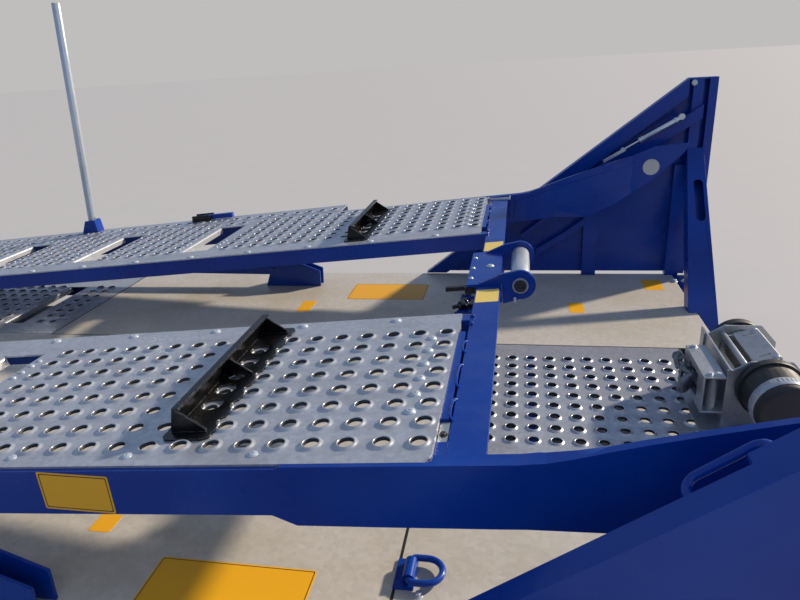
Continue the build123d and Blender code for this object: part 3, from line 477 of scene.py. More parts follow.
def addHoleCell(build, place, x0, x1, y0, y1, centreX, centreY, count):
    sides = ((x1, y1), (x0, y1), (x0, y0), (x1, y0))
    perSide = count // 4
    edge = []
    for i in range(count):
        side, step = divmod(i, perSide)
        first, second = sides[side], sides[(side + 1) % 4]
        share = step / perSide
        edge.append((first[0] + (second[0] - first[0]) * share, first[1] + (second[1] - first[1]) * share))
    turns = circle(count, math.pi / 4)
    loops = [[vert(build, place, x, y, 0) for x, y in edge]]
    for radius, height in pressedHole["rings"]:
        ring = [(centreX + radius * c, centreY + radius * s) for c, s in turns]
        loops.append([vert(build, place, x, y, height) for x, y in ring])
    loops.append([vert(build, place, x, y, -pressedHole["sheet"]) for x, y in edge])
    for number, (first, second) in enumerate(zip(loops, loops[1:])):
        # faces inside the hole take the second, dark finish: painted shade
        inside = pressedHole["innerFrom"] <= number < len(pressedHole["rings"])
        bridge(build, first, second, 1 if inside else 0)


def addFlat(build, place, x0, x1, y0, y1):
    if x1 - x0 < 0.5 or y1 - y0 < 0.5:
        return
    corners = ((x0, y0), (x1, y0), (x1, y1), (x0, y1))
    build.faces.new([vert(build, place, x, y, 0) for x, y in corners])
    build.faces.new([vert(build, place, x, y, -pressedHole["sheet"]) for x, y in reversed(corners)])


def addWall(build, place, line):
    # edge of the sheet along a line of points, with the sheet on its left
    low = -pressedHole["sheet"]
    for (xa, ya), (xb, yb) in zip(line, line[1:]):
        corners = ((xa, ya, low), (xb, yb, low), (xb, yb, 0), (xa, ya, 0))
        build.faces.new([vert(build, place, *corner) for corner in corners])


def addRim(build, place, x0, x1, y0, y1):
    addWall(build, place, [(x0, y0), (x1, y0), (x1, y1), (x0, y1), (x0, y0)])


def addHoleField(build, place, x0, x1, y0, y1, columns, rows, count):
    # flat sheet from x0 to x1 and y0 to y1 with a hole at each column and row
    if not columns:
        addFlat(build, place, x0, x1, y0, y1)
        return
    half = pressedHole["pitch"] / 2
    columns = sorted(columns)
    rows = sorted(rows)
    left, right = max(x0, columns[0] - half), min(x1, columns[-1] + half)
    low, high = max(y0, rows[0] - half), min(y1, rows[-1] + half)
    addFlat(build, place, x0, x1, y0, low)
    addFlat(build, place, x0, x1, high, y1)
    addFlat(build, place, x0, left, low, high)
    addFlat(build, place, right, x1, low, high)
    edgesX = [left] + [(a + b) / 2 for a, b in zip(columns, columns[1:])] + [right]
    edgesY = [low] + [(a + b) / 2 for a, b in zip(rows, rows[1:])] + [high]
    for i, cx in enumerate(columns):
        for j, cy in enumerate(rows):
            addHoleCell(build, place, edgesX[i], edgesX[i + 1], edgesY[j], edgesY[j + 1], cx, cy, count)


def addFold(build, place, x, direction, y0, y1, drop, radius=9, sheet=5):
    # sheet edge that turns down round a radius: x is the outer face, direction -1 or 1 leads back to the flat
    outer = [(x + direction * radius, 0)]
    inner = [(x + direction * radius, -sheet)]
    for i in range(1, 7):
        a = math.pi / 2 * i / 6
        outer.append((x + direction * radius * (1 - math.sin(a)), -radius * (1 - math.cos(a))))
        inner.append((x + direction * (radius - (radius - sheet) * math.sin(a)),
                      -sheet - (radius - sheet) * (1 - math.cos(a))))
    outer.append((x, -drop))
    inner.append((x + direction * sheet, -drop))
    loop = outer + inner[::-1]
    near = [vert(build, place, px, y0, pz) for px, pz in loop]
    far = [vert(build, place, px, y1, pz) for px, pz in loop]
    turn = 1 if direction < 0 else -1
    for i in range(len(loop)):
        j = (i + 1) % len(loop)
        build.faces.new((near[i], near[j], far[j], far[i])[::turn])
    last = len(loop) - 1
    for i in range(len(outer) - 1):
        for ring, order in ((near, -turn), (far, turn)):
            build.faces.new([ring[k] for k in (i, i + 1, last - i - 1, last - i)][::order])


def addGappedSheet(build, place, sheet):
    # hole fields between the strap gaps, whose cross edges turn down
    half = pressedHole["pitch"] / 2
    rows = [sheet["firstRow"] + pressedHole["pitch"] * i for i in range(sheet["rows"])]
    (x0, x1), (y0, y1), (gapLow, gapHigh) = sheet["x"], sheet["y"], sheet["gapY"]
    fold = sheet["fold"]
    front, column = x1, sheet["firstColumn"]
    for number in range(sheet["gaps"] + 1):
        last = number == sheet["gaps"]
        gapRear = sheet["gapRear"] - sheet["gapPitch"] * number
        gapFront = gapRear + sheet["gapLength"]
        rear = x0 if last else gapFront + fold
        columns = []
        while column - half > rear - 1:
            columns.append(column)
            column -= pressedHole["pitch"]
        addHoleField(build, place, rear, front, y0, y1, columns, rows, sheet["around"])
        if last:
            break
        front = gapRear - fold
        column = gapRear - sheet["behind"]
        middle = (gapRear + gapFront) / 2
        for ya, yb, row in ((y0, gapLow, sheet["beside"][0]), (gapHigh, y1, sheet["beside"][1])):
            pair = [middle - half, middle + half] if row else []
            addHoleField(build, place, front, rear, ya, yb, pair, [row], sheet["around"])
        addWall(build, place, [(rear, gapLow), (front, gapLow)])
        addWall(build, place, [(front, gapHigh), (rear, gapHigh)])
        addFold(build, place, gapFront, 1, gapLow + 1, gapHigh - 1, sheet["flange"], fold)
        addFold(build, place, gapRear, -1, gapLow + 1, gapHigh - 1, sheet["flange"], fold)


def joinSheet(build, place):
    # one skin, with its faces outwards on the mirrored side too
    bmesh.ops.remove_doubles(build, verts=build.verts, dist=2e-5)
    if place.determinant() < 0:
        bmesh.ops.reverse_faces(build, faces=build.faces)


def buildWheelTracks():
    track = {
        "x": (-4500, -97), "y": (412, 1066), "outer": 1088, "chamfer": 15, "top": 10, "sheet": 5,
        "foldY": (452, 1062), "firstColumn": -126, "firstRow": 536, "rows": 8, "behind": 52,
        "beside": (0, 1026), "gapRear": -1466, "gapPitch": 576, "gapLength": 126, "gaps": 5,
        "gapY": (530, 973), "flange": 29, "fold": 10, "around": 24,
        "boltPitch": 272, "firstBolt": -277, "innerBoltY": 435, "outerBoltX": -444, "outerBoltY": 1056,
        "frontBoltX": -161, "frontBoltY": (566, 636, 706, 776, 846, 916),
        "edgeBoltX": (-30, 156), "edgeBoltY": (578, 610, 648, 681),
    }
    (x0, x1), (y0, y1), (foldLow, foldHigh) = track["x"], track["y"], track["foldY"]
    for side, place in bothSides(onPlatform):
        here = place @ Matrix.Translation((0, 0, track["top"]))
        build = bmesh.new()
        addGappedSheet(build, here, track)
        # outer margin, with its front corner cut off
        edge = [(x0, y1), (x1, y1), (x1 - track["chamfer"], track["outer"]), (x0, track["outer"])]
        build.faces.new([vert(build, here, x, y, 0) for x, y in edge])
        build.faces.new([vert(build, here, x, y, -track["sheet"]) for x, y in reversed(edge)])
        addWall(build, here, [(x0, y0), (x1, y0), *edge[1:], (x0, y0)])
        joinSheet(build, here)
        addBlock(build, here, (x1 - track["sheet"], foldLow, -track["flange"]),
                 (x1 - 0.2, foldHigh, -track["sheet"] + 0.2))
        finishPressed(build, "platform", "wheel_track_" + side)
        heads = bmesh.new()
        x = track["firstBolt"]
        while x > x0 + 40:
            addDomeHead(heads, facing(here, (x, track["innerBoltY"], 0)))
            x -= track["boltPitch"]
        x = track["outerBoltX"]
        while x > x0 + 40:
            addDomeHead(heads, facing(here, (x, track["outerBoltY"], 0)), 9, 4, 11)
            x -= track["boltPitch"]
        for y in track["frontBoltY"]:
            addDomeHead(heads, facing(here, (track["frontBoltX"], y, 0)), 11, 5, 13)
        for number in range(track["gaps"]):
            for step in track["edgeBoltX"]:
                for y in track["edgeBoltY"]:
                    x = track["gapRear"] - track["gapPitch"] * number + step
                    addDomeHead(heads, facing(here, (x, y, 0)), 7, 4.5, 8)
        finishPiece(heads, "track_bolts_" + side, "platform", boltZinc, 40)
    print("wheel tracks pressed")


def buildWalkway():
    walk = {"x": (-4500, -855), "y": (1098, 1235), "top": 10, "sheet": 5, "skirt": 40, "row": 1138,
            "firstColumn": -900, "around": 24}
    here = onPlatform @ Matrix.Translation((0, 0, walk["top"]))
    (x0, x1), (y0, y1) = walk["x"], walk["y"]
    columns = []
    x = walk["firstColumn"]
    while x > x0 + pressedHole["pitch"] / 2:
        columns.append(x)
        x -= pressedHole["pitch"]
    build = bmesh.new()
    addHoleField(build, here, x0, x1, y0, y1, columns, [walk["row"]], walk["around"])
    addRim(build, here, x0, x1, y0, y1)
    joinSheet(build, here)
    addBlock(build, here, (x0, y1 - walk["sheet"], -walk["skirt"]), (x1, y1 - 0.1, -walk["sheet"] + 0.2))
    finishPressed(build, "platform", "walkway")
    print("walkway pressed")


def buildGripPlates():
    front = {"x": (-72, 672), "y": (-424, 373), "firstX": -37, "columns": 10, "firstY": -311, "rows": 9,
             "around": 24}
    rear = {
        "x": (-5350, -2107), "firstColumn": -2206, "firstRow": 513, "rows": 8, "behind": 52, "beside": (0, 0),
        "gapRear": -2465, "gapPitch": 600, "gapLength": 97, "gaps": 5, "gapY": (490, 1010),
        "flange": 29, "fold": 10, "around": 16,
    }
    build = bmesh.new()
    (x0, x1), (y0, y1) = front["x"], front["y"]
    columns = [front["firstX"] + pressedHole["pitch"] * i for i in range(front["columns"])]
    rows = [front["firstY"] + pressedHole["pitch"] * i for i in range(front["rows"])]
    addHoleField(build, onDeck, x0, x1, y0, y1, columns, rows, front["around"])
    addRim(build, onDeck, x0, x1, y0, y1)
    joinSheet(build, onDeck)
    finishPressed(build, "deck", "grip_plate_front")
    plain = {"x": (-5350, -75), "y": (-424, 373)}
    (x0, x1), (y0, y1) = plain["x"], plain["y"]
    build = bmesh.new()
    addFlat(build, onDeck, x0, x1, y0, y1)
    addRim(build, onDeck, x0, x1, y0, y1)
    joinSheet(build, onDeck)
    finishPiece(build, "plain_deck_plate_middle", "deck", deckZinc, 52,
                replaced=["deck_plate_middle"], wound=True)
    x0, x1 = rear["x"]
    for side, place, y0 in (("left", onDeck, 376), ("right", mirrored(onDeck), 427)):
        rear["y"] = (y0, 1270)
        y1 = rear["y"][1]
        build = bmesh.new()
        addGappedSheet(build, place, rear)
        addRim(build, place, x0, x1, y0, y1)
        joinSheet(build, place)
        finishPressed(build, "deck", "grip_plate_rear_" + side)
    print("grip plates pressed")


def buildCrossbeam():
    # box section whose front wall stands back below the top edge
    beam = {
        "section": [(-75, -100), (-26, -100), (-26, -34), (0, -9), (0, 0), (-75, 0)],
        "half": 1064, "behindBracket": ((-27, -178, -58), (-0.1, 154, -6)),
    }
    build = bmesh.new()
    sideways = onPlatform @ Matrix.Rotation(math.pi / 2, 4, "X")
    addPlate(build, sideways, beam["section"], -beam["half"], beam["half"])
    addBlock(build, onPlatform, *beam["behindBracket"])
    finishPiece(build, "crossbeam_section", "platform", blueEnamel, replaced=["crossbeam"],
                bevel=0.002)


buildWheelTracks()
buildWalkway()
buildGripPlates()
buildCrossbeam()


def rounded(x0, x1, y0, y1, radius):
    # rectangle with round corners
    outline = []
    for cx, cy, start in ((x1 - radius, y1 - radius, 0), (x0 + radius, y1 - radius, 90),
                          (x0 + radius, y0 + radius, 180), (x1 - radius, y0 + radius, 270)):
        for i in range(5):
            a = math.radians(start + 22.5 * i)
            outline.append((cx + radius * math.cos(a), cy + radius * math.sin(a)))
    return outline


def buildLabels():
    labels = {
        "film": (0.05, 0.5), "corner": 9, "smallCorner": 4, "lineHeight": 0.65, "inset": 4, "line": 2,
        # x range and y range of each film on its surface; the bordered ones have a thin dark line
        "deck": [((-808, -408), (-1115, -901)), ((-1064, -1000), (-838, -770)), ((-798, -405), (865, 1086)),
                 ((-1008, -942), (693, 831)), ((284, 350), (723, 843)), ((660, 751), (1028, 1172))],
        "beam": [((-71, -4), (190, 300)), ((-71, -4), (-312, -210))],
        "rail": ((-894, -735), (302, 391)), "bordered": (0, 2),
    }
    corner, small = labels["corner"], labels["smallCorner"]

    def addBorder(build, place, x0, x1, y0, y1):
        outer, inner = [
            [vert(build, place, x, y, labels["lineHeight"])
             for x, y in rounded(x0 + d, x1 - d, y0 + d, y1 - d, small)]
            for d in (labels["inset"], labels["inset"] + labels["line"])]
        bridge(build, outer, inner)

    build = bmesh.new()
    for (x0, x1), (y0, y1) in labels["deck"]:
        addPlate(build, onDeck, rounded(x0, x1, y0, y1, corner), *labels["film"])
    finishPiece(build, "deck_films", "deck", yellowVinyl)
    build = bmesh.new()
    for number in labels["bordered"]:
        (x0, x1), (y0, y1) = labels["deck"][number]
        addBorder(build, onDeck, x0, x1, y0, y1)
    finishPiece(build, "deck_film_borders", "deck", blackLinesAndSeamShade, wound=True)
    build = bmesh.new()
    for (x0, x1), (y0, y1) in labels["beam"]:
        addPlate(build, onPlatform, rounded(x0, x1, y0, y1, small), *labels["film"])
    finishPiece(build, "crossbeam_films", "platform", paleVinyl)
    build = bmesh.new()
    railFace = Matrix.Translation((0, -body["railOuterY"] / mm, 0))
    sideOn = onDeck @ railFace @ Matrix.Rotation(math.pi / 2, 4, "X")
    (x0, x1), (y0, y1) = labels["rail"]
    addPlate(build, sideOn, rounded(x0, x1, y0, y1, small), *labels["film"])
    finishPiece(build, "rail_film", "platform", yellowVinyl)
    build = bmesh.new()
    addBorder(build, sideOn, x0, x1, y0, y1)
    finishPiece(build, "rail_film_border", "platform", blackLinesAndSeamShade, wound=True)
    print("films laid")


buildLabels()


def tubeMesh(build, place, line, radius, count=12, closed=False):
    # round bar along a line of points, turned without twist
    points = [Vector(point) for point in line]
    last = len(points)
    rings = []
    side = None
    for i, point in enumerate(points):
        before = points[i - 1] if i or closed else point
        after = points[(i + 1) % last] if i + 1 < last or closed else point
        ahead = (after - before).normalized()
        side = (ahead.orthogonal() if side is None else side - ahead * side.dot(ahead)).normalized()
        across = ahead.cross(side)
        rings.append([vert(build, place, *(point + radius * (side * c + across * s)))
                      for c, s in circle(count)])
    pairs = list(zip(rings, rings[1:]))
    if closed:
        pairs.append((rings[-1], rings[0]))
    for first, second in pairs:
        bridge(build, first, second)
    if not closed:
        build.faces.new(rings[0][::-1])
        build.faces.new(rings[-1])


def buildSeams():
    # dark strips in the joints between the deck's plates, a painted shade for the shadowed gaps: x from and
    # to, y from and to
    seams = {
        "proud": 0.4, "lines": [(-222, -215, -1270, -427), (-2104, 828, 372, 377), (-20, 672, -428, -423),
                                (-77, -70, -424, 373), (670, 677, -424, 373), (-2109, -2102, 376, 1270),
                                (-2109, -2102, -1270, -427), (-2104, -222, -428, -423),
                                (677, 828, -428, -423)],
    }
    build = bmesh.new()
    for x0, x1, y0, y1 in seams["lines"]:
        addBlock(build, onDeck, (x0, y0, -4), (x1, y1, seams["proud"]))
    finishPiece(build, "deck_seam_painted_shade", "deck", blackLinesAndSeamShade)


def buildJoint():
    # what closes the joint between each track and the crossbeam
    joint = {"x": (-97, -75), "y": (452, 1066), "floor": -30, "sheet": 3, "angleX": (-96.8, -80),
             "angleY": (520, 938), "angleTop": 4.6, "hooks": ((572, 636), (700, 806), (856, 938)),
             "hookBar": 3.2, "plate": ((-96, -76), (940, 1010)), "boltY": 985, "clipY": (415, 466)}
    (x0, x1), (y0, y1) = joint["x"], joint["y"]
    for side, place in bothSides(onPlatform):
        build = bmesh.new()
        addBlock(build, place, (x0, y0, joint["floor"]), (x1, y1, joint["floor"] + joint["sheet"]))
        (xa, xb), (ya, yb) = joint["angleX"], joint["angleY"]
        addBlock(build, place, (xa, ya, joint["floor"] + joint["sheet"]), (xb, yb, joint["angleTop"]))
        addBlock(build, place, (x0, joint["plate"][1][1], -10), (x1, y1, -0.5))
        for y in joint["clipY"]:
            addHexBolt(build, facing(place, (-68, y, 0)), 10, 5, 8, 1.5)
        for ya, yb in joint["hooks"]:
            bend = [(-72, ya, -1), (-76, ya + 4, 2), (-79, ya + 14, 3.2), (-80, (ya + yb) / 2, 3.6),
                    (-79, yb - 14, 3.2), (-76, yb - 4, 2), (-72, yb, -1)]
            tubeMesh(build, place, bend, joint["hookBar"])
        finishPiece(build, "track_joint_" + side, "platform", blueEnamel, bevel=0.0008)
        build = bmesh.new()
        (xa, xb), (ya, yb) = joint["plate"]
        addBlock(build, place, (xa, ya, -14), (xb, yb, -2))
        finishPiece(build, "track_joint_plate_" + side, "platform", platedSteel, bevel=0.0006)
        build = bmesh.new()
        addHexBolt(build, facing(place, (-85.5, joint["boltY"], -2)), 11, 4, 8.5, 1.6)
        finishPiece(build, "track_joint_screw_" + side, "platform", darkCast)


def buildWelds():
    # fillet beads, laid in short overlapping drops and painted over
    welds = {
        "drop": 7, "radius": 3.2,
        "platform": [((0.5, -1064, -96), (0.5, -1064, -4)), ((-72, -1064, 0.5), (-2, -1064, 0.5)),
                     ((0.5, 1064, -96), (0.5, 1064, -4)), ((-72, 1064, 0.5), (-2, 1064, 0.5)),
                     ((-104, -178, 8), (-104, -179, 8)), ((-2, -170, 9), (-62, -170, 9)),
                     ((-2, -168, 30), (-2, -168, 8))],
        "deck": [((381, 1246, 12), (445, 1246, 12)), ((381, -1246, 12), (445, -1246, 12))],
    }
    for rideOn, place in (("platform", onPlatform), ("deck", onDeck)):
        build = bmesh.new()
        for start, stop in welds[rideOn]:
            first, second = Vector(start), Vector(stop)
            drops = max(2, int((second - first).length / welds["drop"]))
            for i in range(drops + 1):
                point = first.lerp(second, i / drops)
                drop = place @ Matrix.Translation(point) @ Matrix.Diagonal((1.15, 1.15, 0.7, 1))
                bmesh.ops.create_icosphere(build, subdivisions=1, radius=welds["radius"], matrix=drop)
        finishPiece(build, "weld_beads_" + rideOn, rideOn, blueEnamel, 80)


def buildBracketTrim():
    trim = {
        "nuts": [(-101, 88), (-102, -21), (-102, -120)], "washerAt": (-39, -10), "plateTop": 8,
        "nose": (58, -6), "bossY": -183,
        "plate": [(-96, 1048), (12, 998), (12, 1096), (-60, 1096), (-96, 1096)],
        "rim": [(-92, 1052), (8, 1005), (8, 1092), (-60, 1092), (-92, 1092)],
    }
    build = bmesh.new()
    for x, y in trim["nuts"]:
        addDomeHead(build, facing(onPlatform, (x + 8, y, trim["plateTop"])), 6.5, 5, 8)
    addDomeHead(build, facing(onPlatform, (*trim["washerAt"], trim["plateTop"])), 11, 6, 14)
    # grease nipple under the near nose
    x, z = trim["nose"]
    addTurned(build, facing(onPlatform, (x - 20, trim["bossY"] + 4, z - 39), (0, -1, -0.4)),
              [(0, 0), (5, 0), (5, 4), (3, 6), (3, 9), (4.4, 11), (3.4, 15), (0, 16)], 12)
    finishPiece(build, "bracket_bolts", "platform", boltZinc)
    build = bmesh.new()
    # slotted nut on the end of the spindle
    place = facing(onPlatform, (x, trim["bossY"], z), (0, -1, 0))
    addTurned(build, place, [(7.5, 0), (19, 0), (19, 3.5), (17.5, 5), (11, 5), (8.5, 3.5), (7.5, 1.5)], 30,
              closed=True)
    for i in range(3):
        turn = place @ Matrix.Rotation(math.pi / 3 * i, 4, "Z")
        addBlock(build, turn, (-18.6, -2.4, 4.6), (-11.6, 2.4, 7.4))
        addBlock(build, turn, (11.6, -2.4, 4.6), (18.6, 2.4, 7.4))
    addTurned(build, place, [(0, 0), (7.3, 0), (7.3, 2.6), (5, 3.4), (0, 3.6)], 16)
    finishPiece(build, "spindle_nut", "platform", darkCast, bevel=0.0005)
    # end plate with a bright rim on the left end of the crossbeam
    build = bmesh.new()
    low, high, inner, floor = [
        [vert(build, onPlatform, px, py, z) for px, py in trim[line]]
        for line, z in (("plate", 0.2), ("plate", 9), ("rim", 9), ("rim", 3))]
    for first, second in ((low, high), (high, inner), (inner, floor)):
        bridge(build, first, second)
    build.faces.new(floor)
    build.faces.new(low[::-1])
    finishPiece(build, "crossbeam_end_plate", "platform", brightZinc, bevel=0.0008)
    print("bracket trim set")


def buildLatch():
    # small black latch on the crossbeam's rear edge, beside the bracket
    latch = {"blocks": (((-172, -166, -15), (-100, -151, -1)), ((-112, -174, -24), (-75, -146, -2))),
             "clampX": -106, "clampZ": -6,
             # y from and to, radius, then how far each drum stands off the clamp's middle in x and z
             "drums": ((-326, -312, 12, 4, -1), (-314, -294, 14, -4, -2), (-296, -276, 10, 6, 1))}
    build = bmesh.new()
    for low, high in latch["blocks"]:
        addBlock(build, onPlatform, low, high)
    x, z = latch["clampX"], latch["clampZ"]
    for ya, yb, radius, dx, dz in latch["drums"]:
        face, long = radius * 0.8, yb - ya
        addTurned(build, facing(onPlatform, (x + dx, ya, z + dz), (0, 1, 0)),
                  [(0, 0), (face, 0), (radius, 3), (radius, long - 3), (face, long), (0, long)], 18)
    tubeMesh(build, onPlatform, [(x - 6, -318, z), (x - 20, -322, z + 2), (x - 28, -322, z - 2)], 6, 10)
    addBlock(build, onPlatform, (x + 6, -310, z - 8), (-75, -290, z + 2))
    finishPiece(build, "beam_latch", "platform", blackPaint, bevel=0.0012)
    # gusset that carries the clamp
    build = bmesh.new()
    addPlate(build, onPlatform, [(-75, -344), (-75, -246), (-130, -334)], -22, -16)
    finishPiece(build, "latch_gusset", "platform", blueEnamel, bevel=0.0012)


def buildTowerTrim():
    trim = {
        "peg": (840, 1246.5, 936),
        "armPins": (((-1254, 1103.5, 91), (0, 1, 0)), ((-1254, 1060.5, 91), (0, -1, 0))),
        "postFeet": ((820, 1150, 0), (865, 1150, 0)), "deckBolt": (-161, -944, 0),
        "cylinder": ((788, 1200, 792), (538, 1200, 649)), "collars": (0.3, 0.345, 0.9),
    }
    build = bmesh.new()
    for place in (onDeck, mirrored(onDeck)):
        addDomeHead(build, facing(place, trim["peg"], (0, -1, 0)), 11, 7, 13)
        for point, outwards in trim["armPins"]:
            addHexBolt(build, facing(place, point, outwards), 19, 8, 15, 2.5)
        for point in trim["postFeet"]:
            addHexBolt(build, facing(place, point), 17, 9, 15, 2.5)
    addHexBolt(build, facing(onDeck, trim["deckBolt"]), 13, 7, 11, 2)
    finishPiece(build, "tower_bolts", "deck", boltZinc)
    # round rims pressed into the lock cylinders' cases
    collars = bmesh.new()
    top, eye = [Vector(point) for point in trim["cylinder"]]
    for place in (onDeck, mirrored(onDeck)):
        for share in trim["collars"]:
            point = eye.lerp(top, share)
            addTurned(collars, facing(place, point, top - eye),
                      [(10, -4), (12.5, -4), (13, -3), (13, 3), (12.5, 4), (10, 4)], 20, closed=True)
    finishPiece(collars, "lock_collars", "deck", brightZinc)


def buildWinchTrim():
    winch = {
        "x": 784, "z": 150, "drum": 40, "wire": 4.5, "wraps": (-170, 60),
        "hookBar": 8, "hookSwell": 5.5, "hookKnee": 8.2, "link": 13, "linkStretch": 9, "linkBar": 6,
        "bandY": -312, "slots": 48,
        "guideBolts": ((622, -186, 180), (622, 8, 180), (646, -186, 180)),
        "plateBolts": ((808, -158, 231), (808, 40, 231)),
        "baseBolts": ((720, -212, 8), (850, -212, 8), (720, 102, 8), (850, 102, 8)),
    }
    # rope laid on the drum, one wrap beside the other
    build = bmesh.new()
    profile = []
    y = winch["wraps"][0]
    while y < winch["wraps"][1]:
        for a in (math.pi * step / 5 for step in range(6)):
            out = winch["drum"] + 0.4 + winch["wire"] * 1.75 * math.sin(a)
            profile.append((out, y + winch["wire"] * (1 - math.cos(a))))
        y += winch["wire"] * 2
    addTurned(build, facing(onDeck, (winch["x"], 0, winch["z"]), (0, 1, 0)), profile, 32)
    finishPiece(build, "rope_wraps", "winch_drum", wireRope, 70)
    # hook, shackle and chain parked against the rope guide
    build = bmesh.new()
    hook = [(604, -104, 132), (592, -108, 134), (577, -114, 130), (566, -118, 118), (562, -116, 102),
            (565, -108, 88), (573, -96, 79), (584, -84, 77), (594, -76, 82), (599, -74, 92)]
    for i, (first, second) in enumerate(zip(hook, hook[1:])):
        swell = winch["hookSwell"] * math.sin(math.pi * (i + 1) / len(hook))
        tubeMesh(build, onDeck, [first, second], winch["hookBar"] + swell, 14)
        knee = onDeck @ Matrix.Translation(second)
        bmesh.ops.create_icosphere(build, subdivisions=2, radius=winch["hookKnee"] + swell, matrix=knee)
    tubeMesh(build, onDeck, [(574, -110, 124), (584, -98, 108), (596, -86, 92)], 4, 10)
    for side in (-1, 1):
        tubeMesh(build, onDeck, [(610, -74 + 17 * side, 126), (598, -74 + 20 * side, 132),
                                 (584, -74 + 16 * side, 138), (574, -74, 141)], 7.5, 12)
    tubeMesh(build, onDeck, [(607, -104, 126), (607, -44, 126)], 8.5, 14)
    tubeMesh(build, onDeck, [(607, -110, 126), (607, -99, 126)], 13, 6)
    links = [((590, -50, 132), (0.3, 1, 0), 0.2), ((582, -26, 124), (0.1, 1, -0.4), 1.5),
             ((588, 0, 112), (0.3, 1, -0.3), 0.4), ((576, 22, 118), (0, 1, 0.4), 1.4),
             ((586, 46, 126), (0.4, 1, 0), 0.2), ((596, 66, 116), (0.5, 0.8, -0.5), 1.3),
             ((598, 30, 96), (0.2, 1, 0.2), 0.9), ((584, -60, 102), (0.3, 0.8, 0.5), 0.6),
             ((596, -20, 92), (0, 1, 0.1), 0.1)]
    loop = [(winch["link"] * c, 0, winch["link"] * s + winch["linkStretch"] * (1 if s > 0 else -1))
            for c, s in circle(20)]
    for point, along, spin in links:
        tubeMesh(build, facing(onDeck, point, along, spin), loop, winch["linkBar"], 10, closed=True)
    finishPiece(build, "tow_hook", "deck", forgedSteel, 60)
    # bolts of the guide and the tension plate
    build = bmesh.new()
    for point in winch["guideBolts"]:
        addHexBolt(build, facing(onDeck, point), 13, 6, 11, 2)
    for point in winch["plateBolts"]:
        addDomeHead(build, facing(onDeck, point, (-0.3, 0, 1)), 8, 5, 10)
    for point in winch["baseBolts"]:
        addHexBolt(build, facing(onDeck, point), 17, 9, 14, 2)
    finishPiece(build, "winch_bolts", "deck", boltZinc)
    # pale clamping band with short slots round the gear case
    build = bmesh.new()
    place = facing(onDeck, (winch["x"], winch["bandY"], winch["z"]), (0, -1, 0))
    addTurned(build, place, [(84.1, -19), (85.6, -19), (86.2, -18), (86.2, 18), (85.6, 19), (84.1, 19)], 48,
              closed=True)
    for i in range(winch["slots"]):
        turn = place @ Matrix.Rotation(2 * math.pi * i / winch["slots"], 4, "Z")
        addBlock(build, turn, (85.8, -1.8, -14), (87, 1.8, 4))
    finishPiece(build, "gear_case_band", "deck", paleBand, bevel=0.0004)
    print("winch trim set")


def buildLashingRings():
    ring = {
        "at": (-188, 889), "axisZ": 18, "half": 38, "corner": 12, "bar": 8, "straight": 38,
        "boss": 29, "bossRadius": 14, "bore": 9.2, "plateLow": (-34, -45, 0), "plateHigh": (14, 45, 6),
    }
    x, y = ring["at"]
    here = onDeck @ Matrix.Translation((x, y, 0))
    half, corner, z = ring["half"], ring["corner"], ring["axisZ"]
    bow = [(corner - corner * math.sin(a), -half + corner - corner * math.cos(a), z) for a in
           (math.pi / 2 * i / 5 for i in range(5, -1, -1))]
    bow += [(ring["straight"] + half * math.cos(a), half * math.sin(a), z)
            for a in (math.pi * (i / 20 - 0.5) for i in range(21))]
    bow += [(corner - corner * math.sin(a), half - corner + corner * math.cos(a), z)
            for a in (math.pi / 2 * i / 5 for i in range(6))]
    outer, inner = [
        [(r, 5), *[(r * math.cos(a), z + r * math.sin(a)) for a in (math.pi * i / 16 for i in range(17))],
         (-r, 5)]
        for r in (ring["bossRadius"], ring["bore"])]
    for side, place in bothSides(here):
        build = bmesh.new()
        tubeMesh(build, place, bow, ring["bar"], 18, closed=True)
        finishPiece(build, "bent_ring_" + side, "lashing_ring_" + side, blueEnamel, 60,
                    replaced=["lashing_ring_" + side])
        build = bmesh.new()
        addBlock(build, place, ring["plateLow"], ring["plateHigh"])
        turned = place @ Matrix.Rotation(math.pi / 2, 4, "X")
        addPlate(build, turned, outer + inner[::-1], -ring["boss"], ring["boss"])
        finishPiece(build, "ring_saddle_" + side, "deck", blueEnamel,
                    replaced=["ring_base_" + side], bevel=0.001)
    print("lashing rings bent")


buildLashingRings()
buildSeams()
buildJoint()
buildWelds()
buildBracketTrim()
buildLatch()
buildTowerTrim()
buildWinchTrim()


def buildRoom():
    room = {"floorZ": -0.001, "reach": 90, "around": 72, "colour": "#b6b7b8", "other": "#bcbcbb"}
    build = bmesh.new()
    addTurned(build, Matrix.Identity(4), [(0, room["floorZ"]), (room["reach"], room["floorZ"])],
              room["around"])
    bmesh.ops.recalc_face_normals(build, faces=build.faces)
    mesh = bpy.data.meshes.new("studio_floor")
    build.to_mesh(mesh)
    build.free()
    mesh.shade_smooth()
    material, tree, shader, where = newMaterial("pale_studio_floor")
    speck = noise(tree, where, 0.4, 4)
    setColour(tree, shader, mixColour(tree, speck, room["colour"], room["other"]))
    shader.inputs["Roughness"].default_value = 0.9
    mesh.materials.append(material)
    item = newObject("studio_floor", mesh)


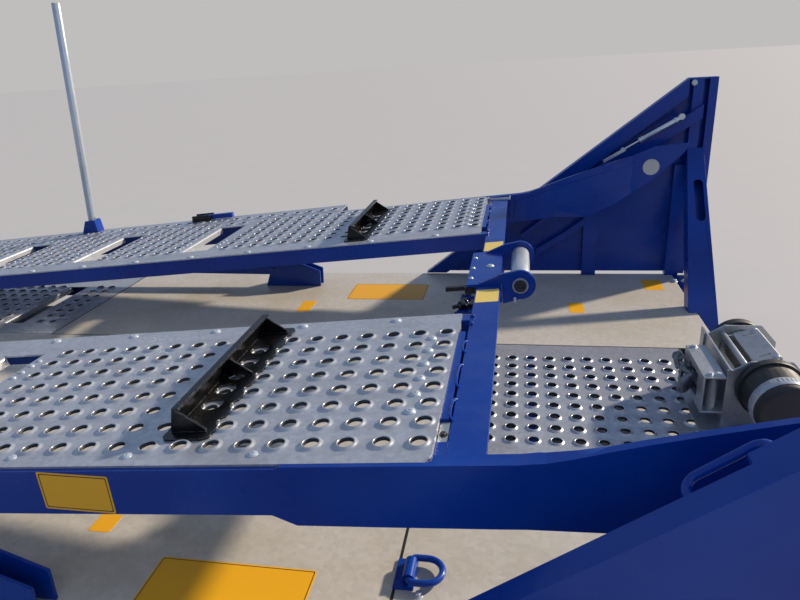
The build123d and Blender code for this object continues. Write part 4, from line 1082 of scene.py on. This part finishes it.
def buildLight():
    lights = {
        "sun": {"energy": 6, "angle": 3, "from": (0.8, 0.55, 0.45), "colour": "#ffeed8"},
        "fill": {"power": 45, "size": 5, "at": (3.5, -5.5, 4.5), "colour": "#e6eeff"},
        "world": {"strength": 0.46, "colour": "#b6cdf4", "seen": "#c0bdbd"},
    }
    aim = Vector((1.6, 0, 0.3))
    sun = bpy.data.lights.new("key_light", "SUN")
    sun.energy = lights["sun"]["energy"]
    sun.angle = math.radians(lights["sun"]["angle"])
    sun.color = srgb(lights["sun"]["colour"])[:3]
    lamp = newObject("key_light", sun)
    lamp.rotation_euler = Vector(lights["sun"]["from"]).to_track_quat("Z", "Y").to_euler()
    fill = bpy.data.lights.new("fill_light", "AREA")
    fill.energy = lights["fill"]["power"]
    fill.size = lights["fill"]["size"]
    fill.color = srgb(lights["fill"]["colour"])[:3]
    panel = newObject("fill_light", fill)
    panel.location = lights["fill"]["at"]
    panel.rotation_euler = (Vector(lights["fill"]["at"]) - aim).to_track_quat("Z", "Y").to_euler()
    world = bpy.data.worlds.new("studio_world")
    bpy.context.scene.world = world
    world.use_nodes = True
    tree = world.node_tree
    path = addNode(tree, "ShaderNodeLightPath")
    seen = addNode(tree, "ShaderNodeMath", {"operation": "MAXIMUM"},
                   {0: path.outputs["Is Camera Ray"], 1: path.outputs["Is Transmission Ray"]}).outputs[0]
    back = tree.nodes["Background"]
    far = (*[value / lights["world"]["strength"] for value in srgb(lights["world"]["seen"])[:3]], 1)
    tree.links.new(mixColour(tree, seen, lights["world"]["colour"], far), back.inputs["Color"])
    back.inputs["Strength"].default_value = lights["world"]["strength"]


def buildCamera():
    shot = {"at": (2.199547, -1.997507, 1.311856), "yaw": 0.197507, "pitch": 0.367655, "roll": -0.061031,
            "lens": 28.3297}
    level = Vector((math.cos(shot["yaw"]), math.sin(shot["yaw"]), 0))
    ahead = Vector((-math.sin(shot["yaw"]), math.cos(shot["yaw"]), 0)) * math.cos(shot["pitch"])
    ahead.z = -math.sin(shot["pitch"])
    upright = level.cross(ahead)
    right = level * math.cos(shot["roll"]) + upright * math.sin(shot["roll"])
    up = upright * math.cos(shot["roll"]) - level * math.sin(shot["roll"])
    data = bpy.data.cameras.new("photo_view")
    data.lens = shot["lens"]
    data.sensor_width = 36
    data.clip_start = 0.02
    data.clip_end = 200
    camera = newObject("photo_view", data)
    turn = Matrix((right, up, -ahead)).transposed().to_4x4()
    camera.matrix_world = Matrix.Translation(shot["at"]) @ turn
    bpy.context.scene.camera = camera


buildRoom()
buildLight()
buildCamera()
bpy.context.scene.view_settings.view_transform = "Standard"
print("room, light and camera set")
